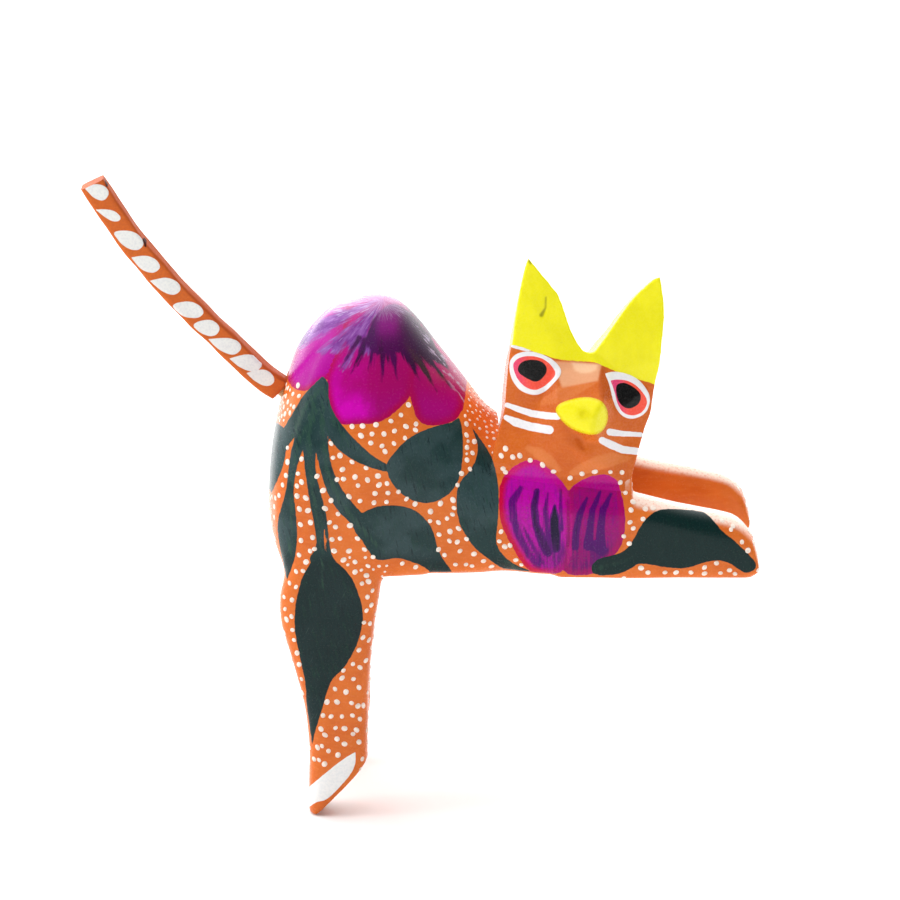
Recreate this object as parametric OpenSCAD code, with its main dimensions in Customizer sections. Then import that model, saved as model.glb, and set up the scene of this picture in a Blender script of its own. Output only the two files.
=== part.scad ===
/* [Body] */
// Half width of the body across the hips and shoulders
hip_half_w = 21; // [19:0.5:23]
// Height of the hump above the flat belly
hump_h = 58.5; // [54:0.5:64]
// Length of the flat belly from the hind legs to the chest front
chest_x = 53; // [51:1:55]

/* [Head] */
// Centre of the head block along the body
head_x = 40.8; // [40.4:0.2:41.2]
// Tilt of the head towards the forelegs, degrees
head_roll = 6; // [4:1:8]
// Turn of the face towards the forelegs, degrees
head_yaw = 3; // [1:1:5]
// Height of the ear tips above the centre of the head
ear_tip = 43.6; // [40:0.2:46]

/* [Legs] */
// Thickness of each leg across the body
leg_t = 10.5; // [9:0.5:11.5]
// Length of the hind legs below the belly
hind_l = 55; // [50:1:60]
// Reach of the forelegs past the chest
fore_l = 29.4; // [26:0.2:32]

/* [Tail] */
// Side of the square whittled tail
tail_w = 5.3; // [5:0.1:5.8]
// Angle of the tail peg above the horizontal, degrees
peg_tilt = 42; // [38:1:46]

/* [Dowels] */
// Diameter of the tail peg
peg_d = 3; // [2.6:0.1:3.2]
// Depth of the tail socket in the rump
socket_depth = 13; // [11:1:15]
// Diameter of the glued dowels
dowel_d = 4; // [3:0.5:4.5]
// Radial clearance round every peg and dowel
fit = 0.05; // [0.02:0.01:0.08]

/* [Hidden] */
$fn = 48;
orange = [0.84, 0.40, 0.14];
yellow = [0.92, 0.90, 0.12];
wood = [0.82, 0.68, 0.48];

leg_y = hip_half_w - leg_t / 2;         // centre line of each leg
seat = [-21.6, 0, 37.2];                // where the tail root meets the rump
peg_dir = [-cos(peg_tilt), 0, sin(peg_tilt)];
gap = 0.3;                              // tail root clear of its seat
head_o = [head_x, -5, 25.3];
neck_z = -4.5;                          // underside of the head, head frame
rebate = 2;                             // depth that the hind legs are let into the body

// ---- rings -----------------------------------------------------------------
function sg(v, e) = sign(v) * pow(abs(v), e);
// A ring in the YZ plane: rounded above, square and flat below
function body_ring(s, n) = [for (k = [0:n - 1]) let (a = 360 * k / n, c = cos(a), d = sin(a))
    d >= 0 ? [s[0], s[3] * sg(c, 0.9), s[4] + (s[2] - s[4]) * pow(d, 0.95)]
           : [s[0], s[3] * sg(c, 0.45), s[4] - (s[4] - s[1]) * pow(-d, 0.5)]];
// Sides joining rings that each hold n points, closed by the two end rings
module skin(rings) {
    n = len(rings[0]);
    m = len(rings);
    polyhedron(points = [for (r = rings) for (p = r) p],
        faces = concat([[for (k = [0:n - 1]) k]],
            [for (j = [0:m - 2]) for (k = [0:n - 1])
                [j * n + k, (j + 1) * n + k, (j + 1) * n + (k + 1) % n, j * n + (k + 1) % n]],
            [[for (k = [n - 1:-1:0]) (m - 1) * n + k]]));
}

// ---- body ------------------------------------------------------------------
hs = hump_h / 58.5;
ws = hip_half_w / 21;
// Stations from rump to chest: x, lowest z, crest z, half width, z of the widest point
stations = [
    [-24.5, 10.5, 17.5, 5.5, 14], [-24.0, 8, 23.5, 11.0, 14.5], [-23.2, 5, 28.5, 14.5, 14.5],
    [-22.3, 2.5, 33.5, 16.6, 14], [-21.2, 0, 38, 17.8, 13], [-20.0, -2, 41.5, 18.8, 12],
    [-18.2, -4, 46.4, 19.7, 12], [-15.0, -4, 51.8, 20.5, 12],
    [-11.0, -4, 55.6, 20.9, 12], [-6.0, -4, 57.7, 21.0, 12], [-1.0, -4, 58.5, 21.0, 12],
    [3.5, -4, 57.1, 20.6, 12], [8.0, -4, 53, 20.0, 12], [13.0, -4, 46.4, 19.4, 11],
    [18.0, -4, 39.8, 19.0, 11], [22.0, -4, 34.4, 19.0, 10], [26.0, -4, 31, 19.2, 10],
    [32.0, -4, 30, 19.8, 9], [40.0, -4, 29, 20.4, 9], [47.0, -4, 28, 20.8, 8],
    [chest_x + 2, -4, 26, 21.0, 8]];

module head_frame() translate(head_o) rotate([0, head_roll, 0]) rotate([0, 0, head_yaw]) children();

module body_form() resize([0, 0, 0]) difference() {
    intersection() {
        skin([for (s = stations) body_ring([s[0], s[1], s[2] * hs, s[3] * ws, s[4]], 32)]);
        translate([-40, -40, 0]) cube([40 + chest_x, 80, 80]);
    }
    // shallow rebates that the hind legs are seated in
    for (m = [-1, 1]) translate([-40, m * (leg_y + 10) - 10 - leg_t / 2 * m, -1])
        cube([40.4, 20, 1 + rebate]);
    // notch that the head block is seated in
    head_frame() translate([-16.5, -40, neck_z]) cube([60, 80, 60]);
}

module along_peg(from, to, d) translate(seat) rotate([0, -(90 - peg_tilt), 0])
    translate([0, 0, from]) cylinder(d = d, h = to - from);

module body() color(orange) difference() {
    body_form();
    along_peg(0, 12, 9.4);                              // flat seat for the tail root
    along_peg(-socket_depth, 1, peg_d + 2 * fit);       // tail socket
    head_frame() translate([0, 3, neck_z - 9]) cylinder(d = dowel_d + 2 * fit, h = 12);
    for (s = [-1, 1]) {
        translate([chest_x - 10, s * leg_y, 8]) rotate([0, 90, 0])
            cylinder(d = dowel_d + 2 * fit, h = 14);
        translate([-11, s * leg_y, -2]) cylinder(d = dowel_d + 2 * fit, h = 12);
    }
}

// ---- head ------------------------------------------------------------------
et = ear_tip / 43.6;
// Front outline of the head, with the ears and the notch between them
outline = [[-16.4, -14], [-16.2, 4.8], [-15.6, 10], [-15.7, 22], [-15.4, 30], [-14.8, 39 * et],
    [-13.5, 44.4 * et], [-8.9, 39.6], [-5.4, 34.6], [-3.1, 29.4], [-0.4, 25.2], [1.5, 24.5],
    [2.8, 25.4], [6.4, 32], [10, 38], [14.7, 42.9 * et], [15.6, 41], [16.8, 35], [16.8, 24],
    [16.3, 17], [15.2, 8.7], [13, -5.6], [12, -14]];
split = 20;                             // the notch falls away to the back by this angle
module split_outline() translate([0, -9.4, 0]) rotate([-split, 0, 0]) translate([0, 34, 0])
    rotate([90, 0, 0]) linear_extrude(height = 52)
        polygon([for (p = outline) [p[0], p[1] * cos(split)]]);
module head() color(yellow) difference() {
    head_frame() intersection() {
        union() {
            // block and ears: front outline crossed with the side outline
            translate([-20, 0, 0]) rotate([90, 0, 90]) linear_extrude(height = 40)
                polygon([[-9.4, neck_z], [-9.4, 26], [-6.2, 44.6 * et], [-3.2, 44.6 * et],
                    [-1.2, 34], [2, 26.5], [8, 22.5], [12.4, 16], [14.5, 6], [14, neck_z]]);
            // muzzle wedge, flush with the chest at its foot
            intersection() {
                translate([0, 0, neck_z]) linear_extrude(height = 27)
                    polygon([[-18, -8], [-17, -9.8], [-8, -11.8], [-3, -16], [4.6, -16.4],
                        [8, -12.8], [14, -10.6], [18, -9.6], [18, -8]]);
                translate([-20, 0, 0]) rotate([90, 0, 90]) linear_extrude(height = 40)
                    polygon([[-8, neck_z], [-11.4, neck_z], [-13.6, 2], [-14.4, 6.4],
                        [-16.4, 9.6], [-16, 14], [-10.4, 22], [-8, 22.2]]);
            }
        }
        split_outline();
    }
    head_frame() translate([0, 3, neck_z - 3]) cylinder(d = dowel_d + 2 * fit, h = 12);
}

// ---- legs ------------------------------------------------------------------
function leg_ring_x(x, z1, zl, t, n) = [for (k = [0:n - 1]) let (a = 360 * k / n)
    [x, t / 2 * sg(cos(a), 0.6), (z1 + zl) / 2 + (z1 - zl) / 2 * sg(sin(a), 0.6)]];
function leg_ring_z(z, x0, x1, t, n) = [for (k = [0:n - 1]) let (a = 360 * k / n)
    [(x0 + x1) / 2 + (x1 - x0) / 2 * sg(cos(a), 0.6), t / 2 * sg(sin(a), 0.6), z]];

// Foreleg stations: distance past the chest as a share of the reach, top height
fore = [[-0.1, 18.9], [0, 18.5], [0.16, 17.3], [0.34, 16.1], [0.55, 14.9], [0.71, 13.9],
    [0.82, 12.8], [0.9, 10.6], [0.96, 7.6], [1.0, 3.2]];
module foreleg_form() resize([0, 0, 0]) intersection() {
    skin([for (f = fore) leg_ring_x(chest_x + f[0] * fore_l, f[1], f[0] > 0.9 ? -0.6 : -1.4,
        leg_t - 1.2 * f[0], 24)]);
    translate([chest_x, -20, 0]) cube([60, 40, 40]);
}
module foreleg(s) color(orange) difference() {
    translate([0, s * leg_y, 0]) foreleg_form();
    translate([chest_x - 2, s * leg_y, 8]) rotate([0, 90, 0])
        cylinder(d = dowel_d + 2 * fit, h = 12);
}
module foreleg_right() foreleg(-1);
module foreleg_left() foreleg(1);

// Hind leg stations: share of the length, back edge, front edge
hind = [[-0.05, -20.3, 0.4], [0, -20.8, 0.2], [0.09, -21.7, -0.2], [0.19, -21.7, -1.1],
    [0.27, -20.8, -1.6], [0.37, -19.3, -2.2], [0.52, -17.1, -2.8], [0.67, -16.1, -2.9],
    [0.77, -15.8, -2.9], [0.9, -15.8, -3.1], [1.06, -15.8, -4]];
module hind_form() resize([0, 0, 0]) difference() {
    intersection() {
        skin([for (i = [len(hind) - 1:-1:0]) leg_ring_z(-hind[i][0] * hind_l, hind[i][1],
            hind[i][2], leg_t, 24)]);
        translate([-40, -20, -hind_l]) cube([80, 40, hind_l + rebate]);
    }
    // slanted cut that leaves the toe at the back of the leg
    translate([-14.6, -20, -hind_l]) rotate([0, -47, 0]) translate([-10, 0, -40])
        cube([60, 40, 40]);
}
module hind_leg(s) color(orange) difference() {
    translate([0, s * leg_y, 0]) hind_form();
    translate([-11, s * leg_y, -10]) cylinder(d = dowel_d + 2 * fit, h = 12);
}
module hind_leg_right() hind_leg(-1);
module hind_leg_left() hind_leg(1);

// ---- tail ------------------------------------------------------------------
// Centre line of the tail from root to tip: x, z
line = [[-25.0, 39.6], [-28.7, 42.9], [-32.5, 46.8], [-39.4, 53.7], [-46.6, 61.7],
    [-52.6, 69.1], [-57.9, 76.9], [-62.9, 85.0]];
function dir_at(i) = let (a = line[max(i - 1, 0)], b = line[min(i + 1, len(line) - 1)],
    d = [b[0] - a[0], b[1] - a[1]]) d / norm(d);
function tail_ring(c, d, w) = let (nx = -d[1], nz = d[0]) [for (q = [[-1, -1], [1, -1], [1, 1], [-1, 1]])
    [c[0] + nx * q[0] * w / 2, q[1] * w / 2, c[1] + nz * q[0] * w / 2]];
root = [seat[0] + peg_dir[0] * gap, seat[2] + peg_dir[2] * gap];
module tail_form() resize([0, 0, 0])
    skin(concat([tail_ring(root, [peg_dir[0], peg_dir[2]], tail_w)],
        [for (i = [0:len(line) - 1]) tail_ring(line[i],
            i < 2 ? [peg_dir[0], peg_dir[2]] : dir_at(i), tail_w)]));
module tail() color(orange) difference() {
    tail_form();
    along_peg(-1, 8, peg_d + 2 * fit);
}
module tail_peg() color(wood) along_peg(-socket_depth + 0.6, 7.6, peg_d);

// ---- glued dowels ----------------------------------------------------------
module neck_dowel() color(wood) head_frame() translate([0, 3, neck_z - 8.6])
    cylinder(d = dowel_d, h = 17.2);
module shoulder_dowels() color(wood) for (s = [-1, 1])
    translate([chest_x - 9.6, s * leg_y, 8]) rotate([0, 90, 0])
        cylinder(d = dowel_d, h = 19.2);
module hip_dowels() color(wood) for (s = [-1, 1])
    translate([-11, s * leg_y, -9.6]) cylinder(d = dowel_d, h = 19.2);

body();
head();
foreleg_right();
foreleg_left();
hind_leg_right();
hind_leg_left();
tail();
tail_peg();
neck_dowel();
shoulder_dowels();
hip_dowels();
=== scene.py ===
"""Painted shelf-sitting wooden cat: detailed meshes and hand-painted materials around the CAD frame."""
import math

import bmesh
import bpy
import numpy as np
from mathutils import Matrix, Vector, noise
from mathutils.bvhtree import BVHTree


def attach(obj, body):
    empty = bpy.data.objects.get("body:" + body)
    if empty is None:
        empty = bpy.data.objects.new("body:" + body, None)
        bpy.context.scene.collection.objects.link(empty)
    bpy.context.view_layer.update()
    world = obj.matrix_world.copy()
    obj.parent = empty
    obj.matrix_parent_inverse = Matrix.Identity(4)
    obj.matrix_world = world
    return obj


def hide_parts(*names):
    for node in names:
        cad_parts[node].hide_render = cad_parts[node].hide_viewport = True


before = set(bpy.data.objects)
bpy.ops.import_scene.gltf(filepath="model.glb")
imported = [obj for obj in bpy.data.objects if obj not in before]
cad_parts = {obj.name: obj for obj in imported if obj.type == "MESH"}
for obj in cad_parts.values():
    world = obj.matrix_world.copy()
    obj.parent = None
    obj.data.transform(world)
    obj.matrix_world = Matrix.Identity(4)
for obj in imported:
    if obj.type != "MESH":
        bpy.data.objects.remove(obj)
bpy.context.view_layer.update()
MM = 0.001
scene = bpy.context.scene

# ---------------------------------------------------------------------------
# The painter's sheet: one flat drawing that is thrown onto the near side of the
# carving from a point in front of it, and its mirror image onto the far side.
# Sheet units are 0.22 mm; all shapes below are drawn on it.
# ---------------------------------------------------------------------------
UNIT = 0.22
TILT = math.radians(17)
THROW = 1000.0
AIM = np.array([15.2, 0.0, 23.2])
FWD = np.array([0, math.cos(TILT), -math.sin(TILT)])
UP = np.array([0, math.sin(TILT), math.cos(TILT)])
EYE = AIM - FWD * THROW


def sheet(P):
    d = P - EYE
    z = d @ FWD
    k = THROW / UNIT
    return np.stack([450 + k * d[:, 0] / z, 450 - k * (d @ UP) / z], 1)


def sheet_both(P):
    Q = P.copy()
    Q[:, 1] = -np.abs(Q[:, 1])
    return sheet(Q)


def ray(px, py):
    v = FWD + np.array([1.0, 0, 0]) * ((px - 450) * UNIT / THROW) - UP * ((py - 450) * UNIT / THROW)
    return EYE, v / np.linalg.norm(v)


def chaikin(pts, n=2):
    """Round a closed outline, leaving any corner that is given twice."""
    P = [tuple(p) for p in pts]
    hard = set(p for i, p in enumerate(P) if P[i - 1] == p)
    P = [p for i, p in enumerate(P) if P[i - 1] != p]
    for _ in range(n):
        Q = []
        for i, a in enumerate(P):
            b = P[(i + 1) % len(P)]
            if a in hard:
                Q.append(a)
            else:
                Q.append((a[0] * 0.75 + b[0] * 0.25, a[1] * 0.75 + b[1] * 0.25))
            if b not in hard:
                Q.append((a[0] * 0.25 + b[0] * 0.75, a[1] * 0.25 + b[1] * 0.75))
        P = Q
    return np.array(P)


def sd_poly(p, pts, n=2):
    """Signed distance in sheet units, positive inside."""
    V = chaikin(pts, n)
    d = np.full(len(p), 1e9)
    s = np.zeros(len(p), bool)
    lo, hi = V.min(0) - 40, V.max(0) + 40
    near = ((p > lo) & (p < hi)).all(1)
    q = p[near]
    dn = np.full(len(q), 1e9)
    sn = np.zeros(len(q), bool)
    for i in range(len(V)):
        a, b = V[i - 1], V[i]
        e = b - a
        w = q - a
        t = np.clip((w @ e) / max(e @ e, 1e-9), 0, 1)
        r = w - t[:, None] * e
        dn = np.minimum(dn, (r * r).sum(1))
        c = (a[1] > q[:, 1]) != (b[1] > q[:, 1])
        with np.errstate(divide="ignore", invalid="ignore"):
            xi = a[0] + (q[:, 1] - a[1]) * e[0] / (e[1] if e[1] else 1e-9)
        sn ^= c & (q[:, 0] < xi)
    d[near] = np.sqrt(dn)
    d[~near] = 40.0
    s[near] = sn
    return np.where(s, d, -d)


def sd_stroke(p, pts, widths):
    """A brush stroke: a chain of tapering capsules."""
    best = np.full(len(p), -1e9)
    for (a, b), (ra, rb) in zip(zip(pts[:-1], pts[1:]), zip(widths[:-1], widths[1:])):
        a, b = np.array(a, float), np.array(b, float)
        e = b - a
        w = p - a
        t = np.clip((w @ e) / (e @ e), 0, 1)
        d = np.linalg.norm(w - t[:, None] * e, axis=1)
        best = np.maximum(best, (ra + (rb - ra) * t) - d)
    return best


# ---- outlines on the sheet ---------------------------------------------------
LEAF_A = [(386.9, 462), (392.7, 454.5), (404.3, 441.3), (417.5, 433), (434, 426.3), (450.7, 423),
          (459, 417.2), (459, 417.2), (461.5, 424.7), (463.2, 439.6), (462.7, 459.5), (460.7, 472.8),
          (457.3, 484.4), (447.4, 496), (434, 502.6), (422.5, 503.4), (409.3, 499.3), (397.6, 491),
          (389.4, 479.4), (386.9, 469.5)]
LEAF_B = [(361, 513.4), (372.8, 507.6), (386, 505), (401, 506), (414.2, 509.3), (425.8, 519.2),
          (432.5, 529), (435.8, 540.8), (438.3, 550.7), (444, 560.7), (453, 573), (453, 573),
          (442.4, 576), (434, 577), (425.8, 567.3), (409.3, 560.7), (396, 557.3), (382.7, 560.7),
          (374.4, 559), (366, 547.4), (359.5, 535.8), (355.4, 525.8)]
LEAF_C = [(471.4, 426.3), (471.4, 426.3), (477.2, 434.6), (485.5, 446.2), (492.2, 457.8), (496.3, 472.8),
          (498.8, 489.4), (498.8, 509.3), (497, 530.8), (495.5, 542.4), (500.5, 552.4), (508.8, 560.7),
          (520, 567.3), (530, 570), (530, 574), (508.8, 571), (498.8, 566.5), (487.2, 558.2),
          (475.6, 549), (465.6, 535.8), (459, 522.5), (456.5, 509.3), (456.5, 492.7), (459.8, 481),
          (467.3, 474.4), (474, 464.5), (478, 452.9), (477.2, 441.3)]
LEAF_D = [(318, 548), (311.4, 561.7), (303, 575), (298, 591.5), (294.8, 608), (294.3, 626.3),
          (297.3, 646.2), (301.5, 664.5), (305.6, 682.7), (306.4, 702.6), (308.9, 722.5),
          (312.2, 745), (312.2, 745), (315.6, 729), (322.2, 709.3), (328, 687.7), (333, 677.7),
          (341.3, 671), (349.6, 659.5), (357.8, 643), (362.8, 624.7), (363, 608), (357.8, 591.5),
          (352.9, 579.9), (344.6, 568.3), (334.6, 560.8), (330, 550)]
LEAF_G = [(594, 559.7), (618.4, 554), (626.4, 549.4), (633.3, 540.2), (639, 528.7), (646, 518.4),
          (655, 511.5), (664.3, 508.6), (680.4, 509.2), (697.6, 510.4), (705.6, 512.7), (714.8, 521.8),
          (721.7, 531), (730.9, 537.9), (741.2, 547), (751.5, 557.4), (757, 564.3), (754.5, 570.5),
          (747, 573.5), (740, 570.6), (732, 564.3), (721.7, 560.3), (710.2, 560.9), (697.6, 564.9),
          (686, 568.3), (673.5, 568.3), (657.4, 566), (639, 562.6), (632, 567.8), (620.7, 574),
          (600, 576), (590, 572)]
# root and stems in one outline; the corners between them are given twice
GREEN = [(322.6, 376), (322.6, 376), (329.3, 382.7), (328, 395.4), (332, 410), (341.3, 425), (357.4, 442.3),
         (372, 455.7), (386, 463.7), (393, 468), (386.2, 472.5), (366.8, 466.4), (352, 459.7), (337.3, 449),
         (327.6, 436), (327.6, 436), (328.6, 450), (330.6, 463.8), (337.3, 481), (345.3, 494.5), (361.4, 513.3),
         (370, 520), (364, 542), (357.4, 536), (350.7, 522.7), (340, 513.3), (330.6, 500), (324, 483.8), (320, 469),
         (315.7, 451), (315.7, 451), (315.2, 469), (318.6, 485), (324, 504), (327.3, 521.3), (329.3, 544),
         (333, 560), (320, 570), (307, 560), (317.2, 548), (315.2, 530.7), (311.9, 512), (308.5, 494.5),
         (304.4, 466.4), (303.2, 449), (303.2, 449), (300.5, 455.7), (296.5, 469), (293.8, 483.8), (293.8, 498.6),
         (296.5, 517.3), (297.3, 537.4), (295.2, 557.5), (290.4, 571), (287, 580), (287, 580), (284.5, 569),
         (280.4, 550.8), (276.7, 528), (279.7, 512), (286, 492), (288.2, 471.8), (289.8, 455.7), (294.8, 437),
         (294.8, 437), (286.4, 447.7), (284.4, 461), (279.7, 475.8), (271.5, 493), (271.5, 493), (266, 484),
         (263, 462), (266, 438), (274, 420), (283.7, 427.6), (283.7, 427.6), (293.8, 411.5), (301.2, 398),
         (309.2, 388.7)]
SLIVER = ([(324.3, 530), (325.2, 541), (325.8, 553)], [0.3, 1.3, 0.5])
VEINS = [  # lighter strokes dragged along the stems and over the leaves' ends
    ([(321, 388), (306, 405), (296, 428), (286, 458)], [3.5, 3.2, 2.6, 1.2]),
    ([(325, 392), (336, 424), (352, 446), (384, 467)], [3.0, 3.2, 2.4, 1.4]),
    ([(322, 400), (323, 440), (328, 476), (344, 508), (372, 540), (384, 552)], [3.0, 3.2, 3.0, 3.0, 2.2, 0.6]),
    ([(313, 404), (308, 440), (313, 490), (321, 540), (324, 586)], [3.2, 3.0, 2.6, 2.4, 0.6]),
    ([(318, 410), (299, 440), (292, 474), (291, 520), (289, 560)], [2.4, 2.2, 2.0, 2.0, 0.8]),
    ([(500, 548), (508, 562), (524, 571)], [1.0, 2.4, 1.6]),
    ([(598, 568), (622, 562), (642, 552)], [2.0, 2.0, 0.8])]
PETALS = [  # drawn in order, the last lies on top
    [(380, 280), (320, 280), (300, 330), (288, 362), (286, 375), (289.9, 384.9), (298, 390.7),
     (308, 391), (323, 381), (338, 374), (352, 350), (380, 330)],
    [(395, 270), (430, 270), (470, 360), (464.5, 399.8), (462.3, 411.4), (454, 422.2), (439, 425.5),
     (425.8, 425.5), (417.5, 419.7), (413.4, 409.8), (408, 385), (398, 340)],
    [(350, 280), (415, 280), (418, 340), (413, 380), (410, 397.3), (406, 401.5), (397.6, 409.8),
     (386, 419.7), (372.8, 424), (354.5, 424), (341.3, 425.5), (334.6, 418), (329.7, 406.4),
     (327.6, 393), (326.4, 381), (330, 367), (342, 342)]]
SPIKES = [((340, 369), 2.0), ((351.5, 374), 2.6), ((358, 366), 1.8), ((368, 372), 2.4), ((374, 366), 2.0),
          ((382.5, 382), 3.0), ((389, 368), 2.6), ((397.5, 380), 3.4), ((404, 360), 2.6), ((411, 366), 2.4),
          ((419.5, 381), 4.4), ((427, 366), 2.8), ((437, 391), 3.6), ((441, 374), 2.6), ((451, 388), 3.0)]
HAZE = [((383, 296), (296, 346), 5), ((383, 296), (306, 336), 6), ((383, 297), (322, 326), 9), ((383, 298), (322, 352), 3.5),
        ((383, 298), (336, 348), 6), ((383, 300), (344, 366), 3.5), ((383, 300), (354, 340), 10),
        ((383, 300), (368, 346), 9)]
HEART_L = [(531, 459), (519, 463), (508, 471), (500.5, 481), (498.8, 497), (499, 514), (503, 529), (509, 541),
           (517, 555), (524, 566), (533, 574), (560, 575), (572, 560), (572, 520), (568.4, 491.5),
           (568.4, 491.5), (563, 483), (556, 475), (547, 467), (539, 460.5)]
HEART_R = [(568.4, 491.5), (568.4, 491.5), (574, 484.5), (582, 480), (592, 476), (603, 474), (612, 476),
           (618.5, 482), (621, 493), (624.5, 505), (625.5, 521), (624, 537), (620, 549), (609, 561), (597, 575),
           (560, 576), (562, 540)]
HEART_STROKES = [
    ([(521, 488), (512.5, 502), (513.3, 519), (519.5, 537), (528, 553), (538, 566)], [3, 4.6, 4.4, 4.2, 4, 4], 0.55),
    ([(522, 523), (528, 537), (536, 552), (541, 562)], [0.6, 2.4, 3, 3], 0.55),
    ([(537, 491), (534, 507), (536.3, 526), (543, 542), (548, 552)], [2.6, 3.6, 3.6, 5.0, 4.5], 1.0),
    ([(548, 493), (545.4, 510), (546.6, 528), (550, 544)], [1.2, 3.0, 3.0, 3.4], 0.6),
    ([(554.6, 506), (554.6, 520), (555.2, 534), (556, 548)], [1.2, 4.6, 5.2, 4.4], 1.3),
    ([(561, 490), (560.5, 510), (562, 530)], [1.6, 2.0, 2.2], 0.6),
    ([(568, 500), (568.4, 520), (568.4, 545)], [1.2, 2.4, 2.6], 0.5),
    ([(587, 498), (580, 514), (576.4, 530), (575.3, 547)], [1.4, 3.2, 3.4, 3.6], 0.9),
    ([(600, 492), (592.5, 510), (590.2, 528), (588, 546)], [1.4, 3.0, 3.4, 5.0], 0.85),
    ([(611, 494), (603, 510), (600.6, 528), (600.6, 547)], [1.4, 3.4, 4.0, 5.6], 0.85),
    ([(596, 546), (604, 552)], [6, 5], 0.8)]
EYE_L = [[(509, 366.3), (510.6, 358.6), (518.3, 352.5), (530.5, 351), (544.3, 354.8), (555, 361),
          (561.5, 369.4), (560.5, 376), (553.5, 383.5), (545.8, 391.5), (536.6, 395.4), (526, 393.8),
          (516.7, 387.7), (510.6, 377)],
         [(512.4, 366.3), (515.2, 360), (522.8, 356.2), (535, 356), (545.8, 360), (553.5, 367.8),
          (556.3, 374), (550.4, 381.6), (541.2, 388.5), (533.6, 390.4), (524.4, 387), (516.7, 378.5)],
         [(517.3, 368.6), (520.6, 362.3), (529, 359.4), (539.7, 360.2), (546.3, 365.3), (547, 372.6),
          (541.2, 379.8), (535, 382.4), (525.9, 378), (519, 373.4)]]
EYE_R = [[(605, 373.6), (605, 373.6), (611.6, 371.5), (622.3, 372.2), (634.5, 376.6), (643.7, 384.5), (650, 395.4),
          (649.7, 404.6), (645.3, 413.9), (634.5, 419.2), (623.8, 417.8), (616, 409), (612, 396.9), (609.6, 384.7)],
         [(610.6, 380.6), (610.6, 380.6), (617.7, 379), (630, 381.2), (639, 387.5), (648.3, 400), (644.5, 410.9),
          (634.5, 416.2), (623.8, 413.9), (617.5, 404.6), (615.2, 393.8)],
         [(615.6, 385), (622.3, 382.2), (630.7, 385), (639.2, 391.3), (641.7, 398.4), (637.6, 405.6),
          (628.4, 409.2), (620.8, 405.5), (616.5, 396.9)]]
NOSE = [(554.5, 409.9), (559.6, 403), (571.8, 399), (584, 396.7), (596.3, 398.2), (605, 403.6),
        (608.8, 415.3), (606.4, 426.2), (600, 433.9), (590.2, 435.2), (577.9, 432.2), (567.2, 426.2),
        (559.4, 418)]
WHISKERS = [([(507, 405), (515, 408), (532, 413.6), (547, 415.8), (557.5, 416.4)], [2.4, 2.8, 3.4, 3.6, 3.4]),
            ([(506, 417.5), (515.2, 422), (530.5, 426.6), (549.5, 430)], [2.6, 4.2, 4.2, 4.2]),
            ([(610, 432), (621, 433.6), (641, 434.6)], [3.6, 2.8, 2.2]),
            ([(602, 440.3), (610, 444.2), (622.3, 449.6), (638, 451.4)], [3.4, 4.0, 3.8, 3.4])]
BROW = [(480, 336), (512, 345.5), (540, 353.6), (556, 359), (572, 361), (592, 361.5), (602, 365), (611, 369.5),
        (640, 380), (653, 384), (700, 398), (700, 200), (480, 200)]
BROW_LINE = ([(512.5, 346.2), (522, 348.8), (533, 351.6)], [1.3, 1.5, 0.5])
TOE = [(309, 787), (309, 787), (326.3, 772.3), (343, 759), (355.4, 752), (355.4, 752), (356, 762.3), (351.2, 774),
       (339.6, 787.2), (327, 800), (316, 802), (309, 807), (309, 807)]
TAIL_MARKS = [
    [(85, 188.6), (85, 188.6), (94, 183.6), (104, 185.2), (109.8, 192), (106, 199.4), (101, 201), (93, 197.6)],
    [(95.4, 209.5), (95.4, 209.5), (106, 209), (116, 211.4), (121.6, 218), (118, 221.8), (112, 221.4), (104, 216.6)],
    [(112, 231.2), (129.4, 230.2), (139, 234.6), (144.7, 243), (140, 249.8), (133, 250.4), (124, 246.4), (118, 240)],
    [(131.2, 257.4), (131.2, 257.4), (146.6, 255), (156.5, 259.6), (161, 267), (156, 272.4), (149, 273), (140, 268.8)],
    [(149.8, 280.8), (149.8, 280.8), (166, 276.8), (177, 281), (181.7, 288.6), (177, 294.4), (170, 295), (160, 290.2)],
    [(170.6, 304.4), (188, 300.4), (200, 305), (204.4, 312.7), (200, 317.4), (193, 318.2), (184, 317), (177, 312)],
    [(190.6, 323.8), (209, 318.6), (218.4, 323.8), (220, 330), (216, 335.4), (209.6, 336.6), (200, 333)],
    [(208, 339), (208, 339), (227.8, 337.4), (238.6, 341), (242.2, 348), (237, 354), (230, 355), (218, 349.4)],
    [(229.2, 358.6), (229.2, 358.6), (247, 353.4), (258.8, 357.2), (263, 364.4), (258, 371), (250, 372), (238, 366.4)],
    [(246.2, 372.8), (246.2, 372.8), (263, 368.4), (272.4, 373.6), (275, 381), (271, 385.6), (264, 386.2), (254, 380.8)]]
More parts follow.
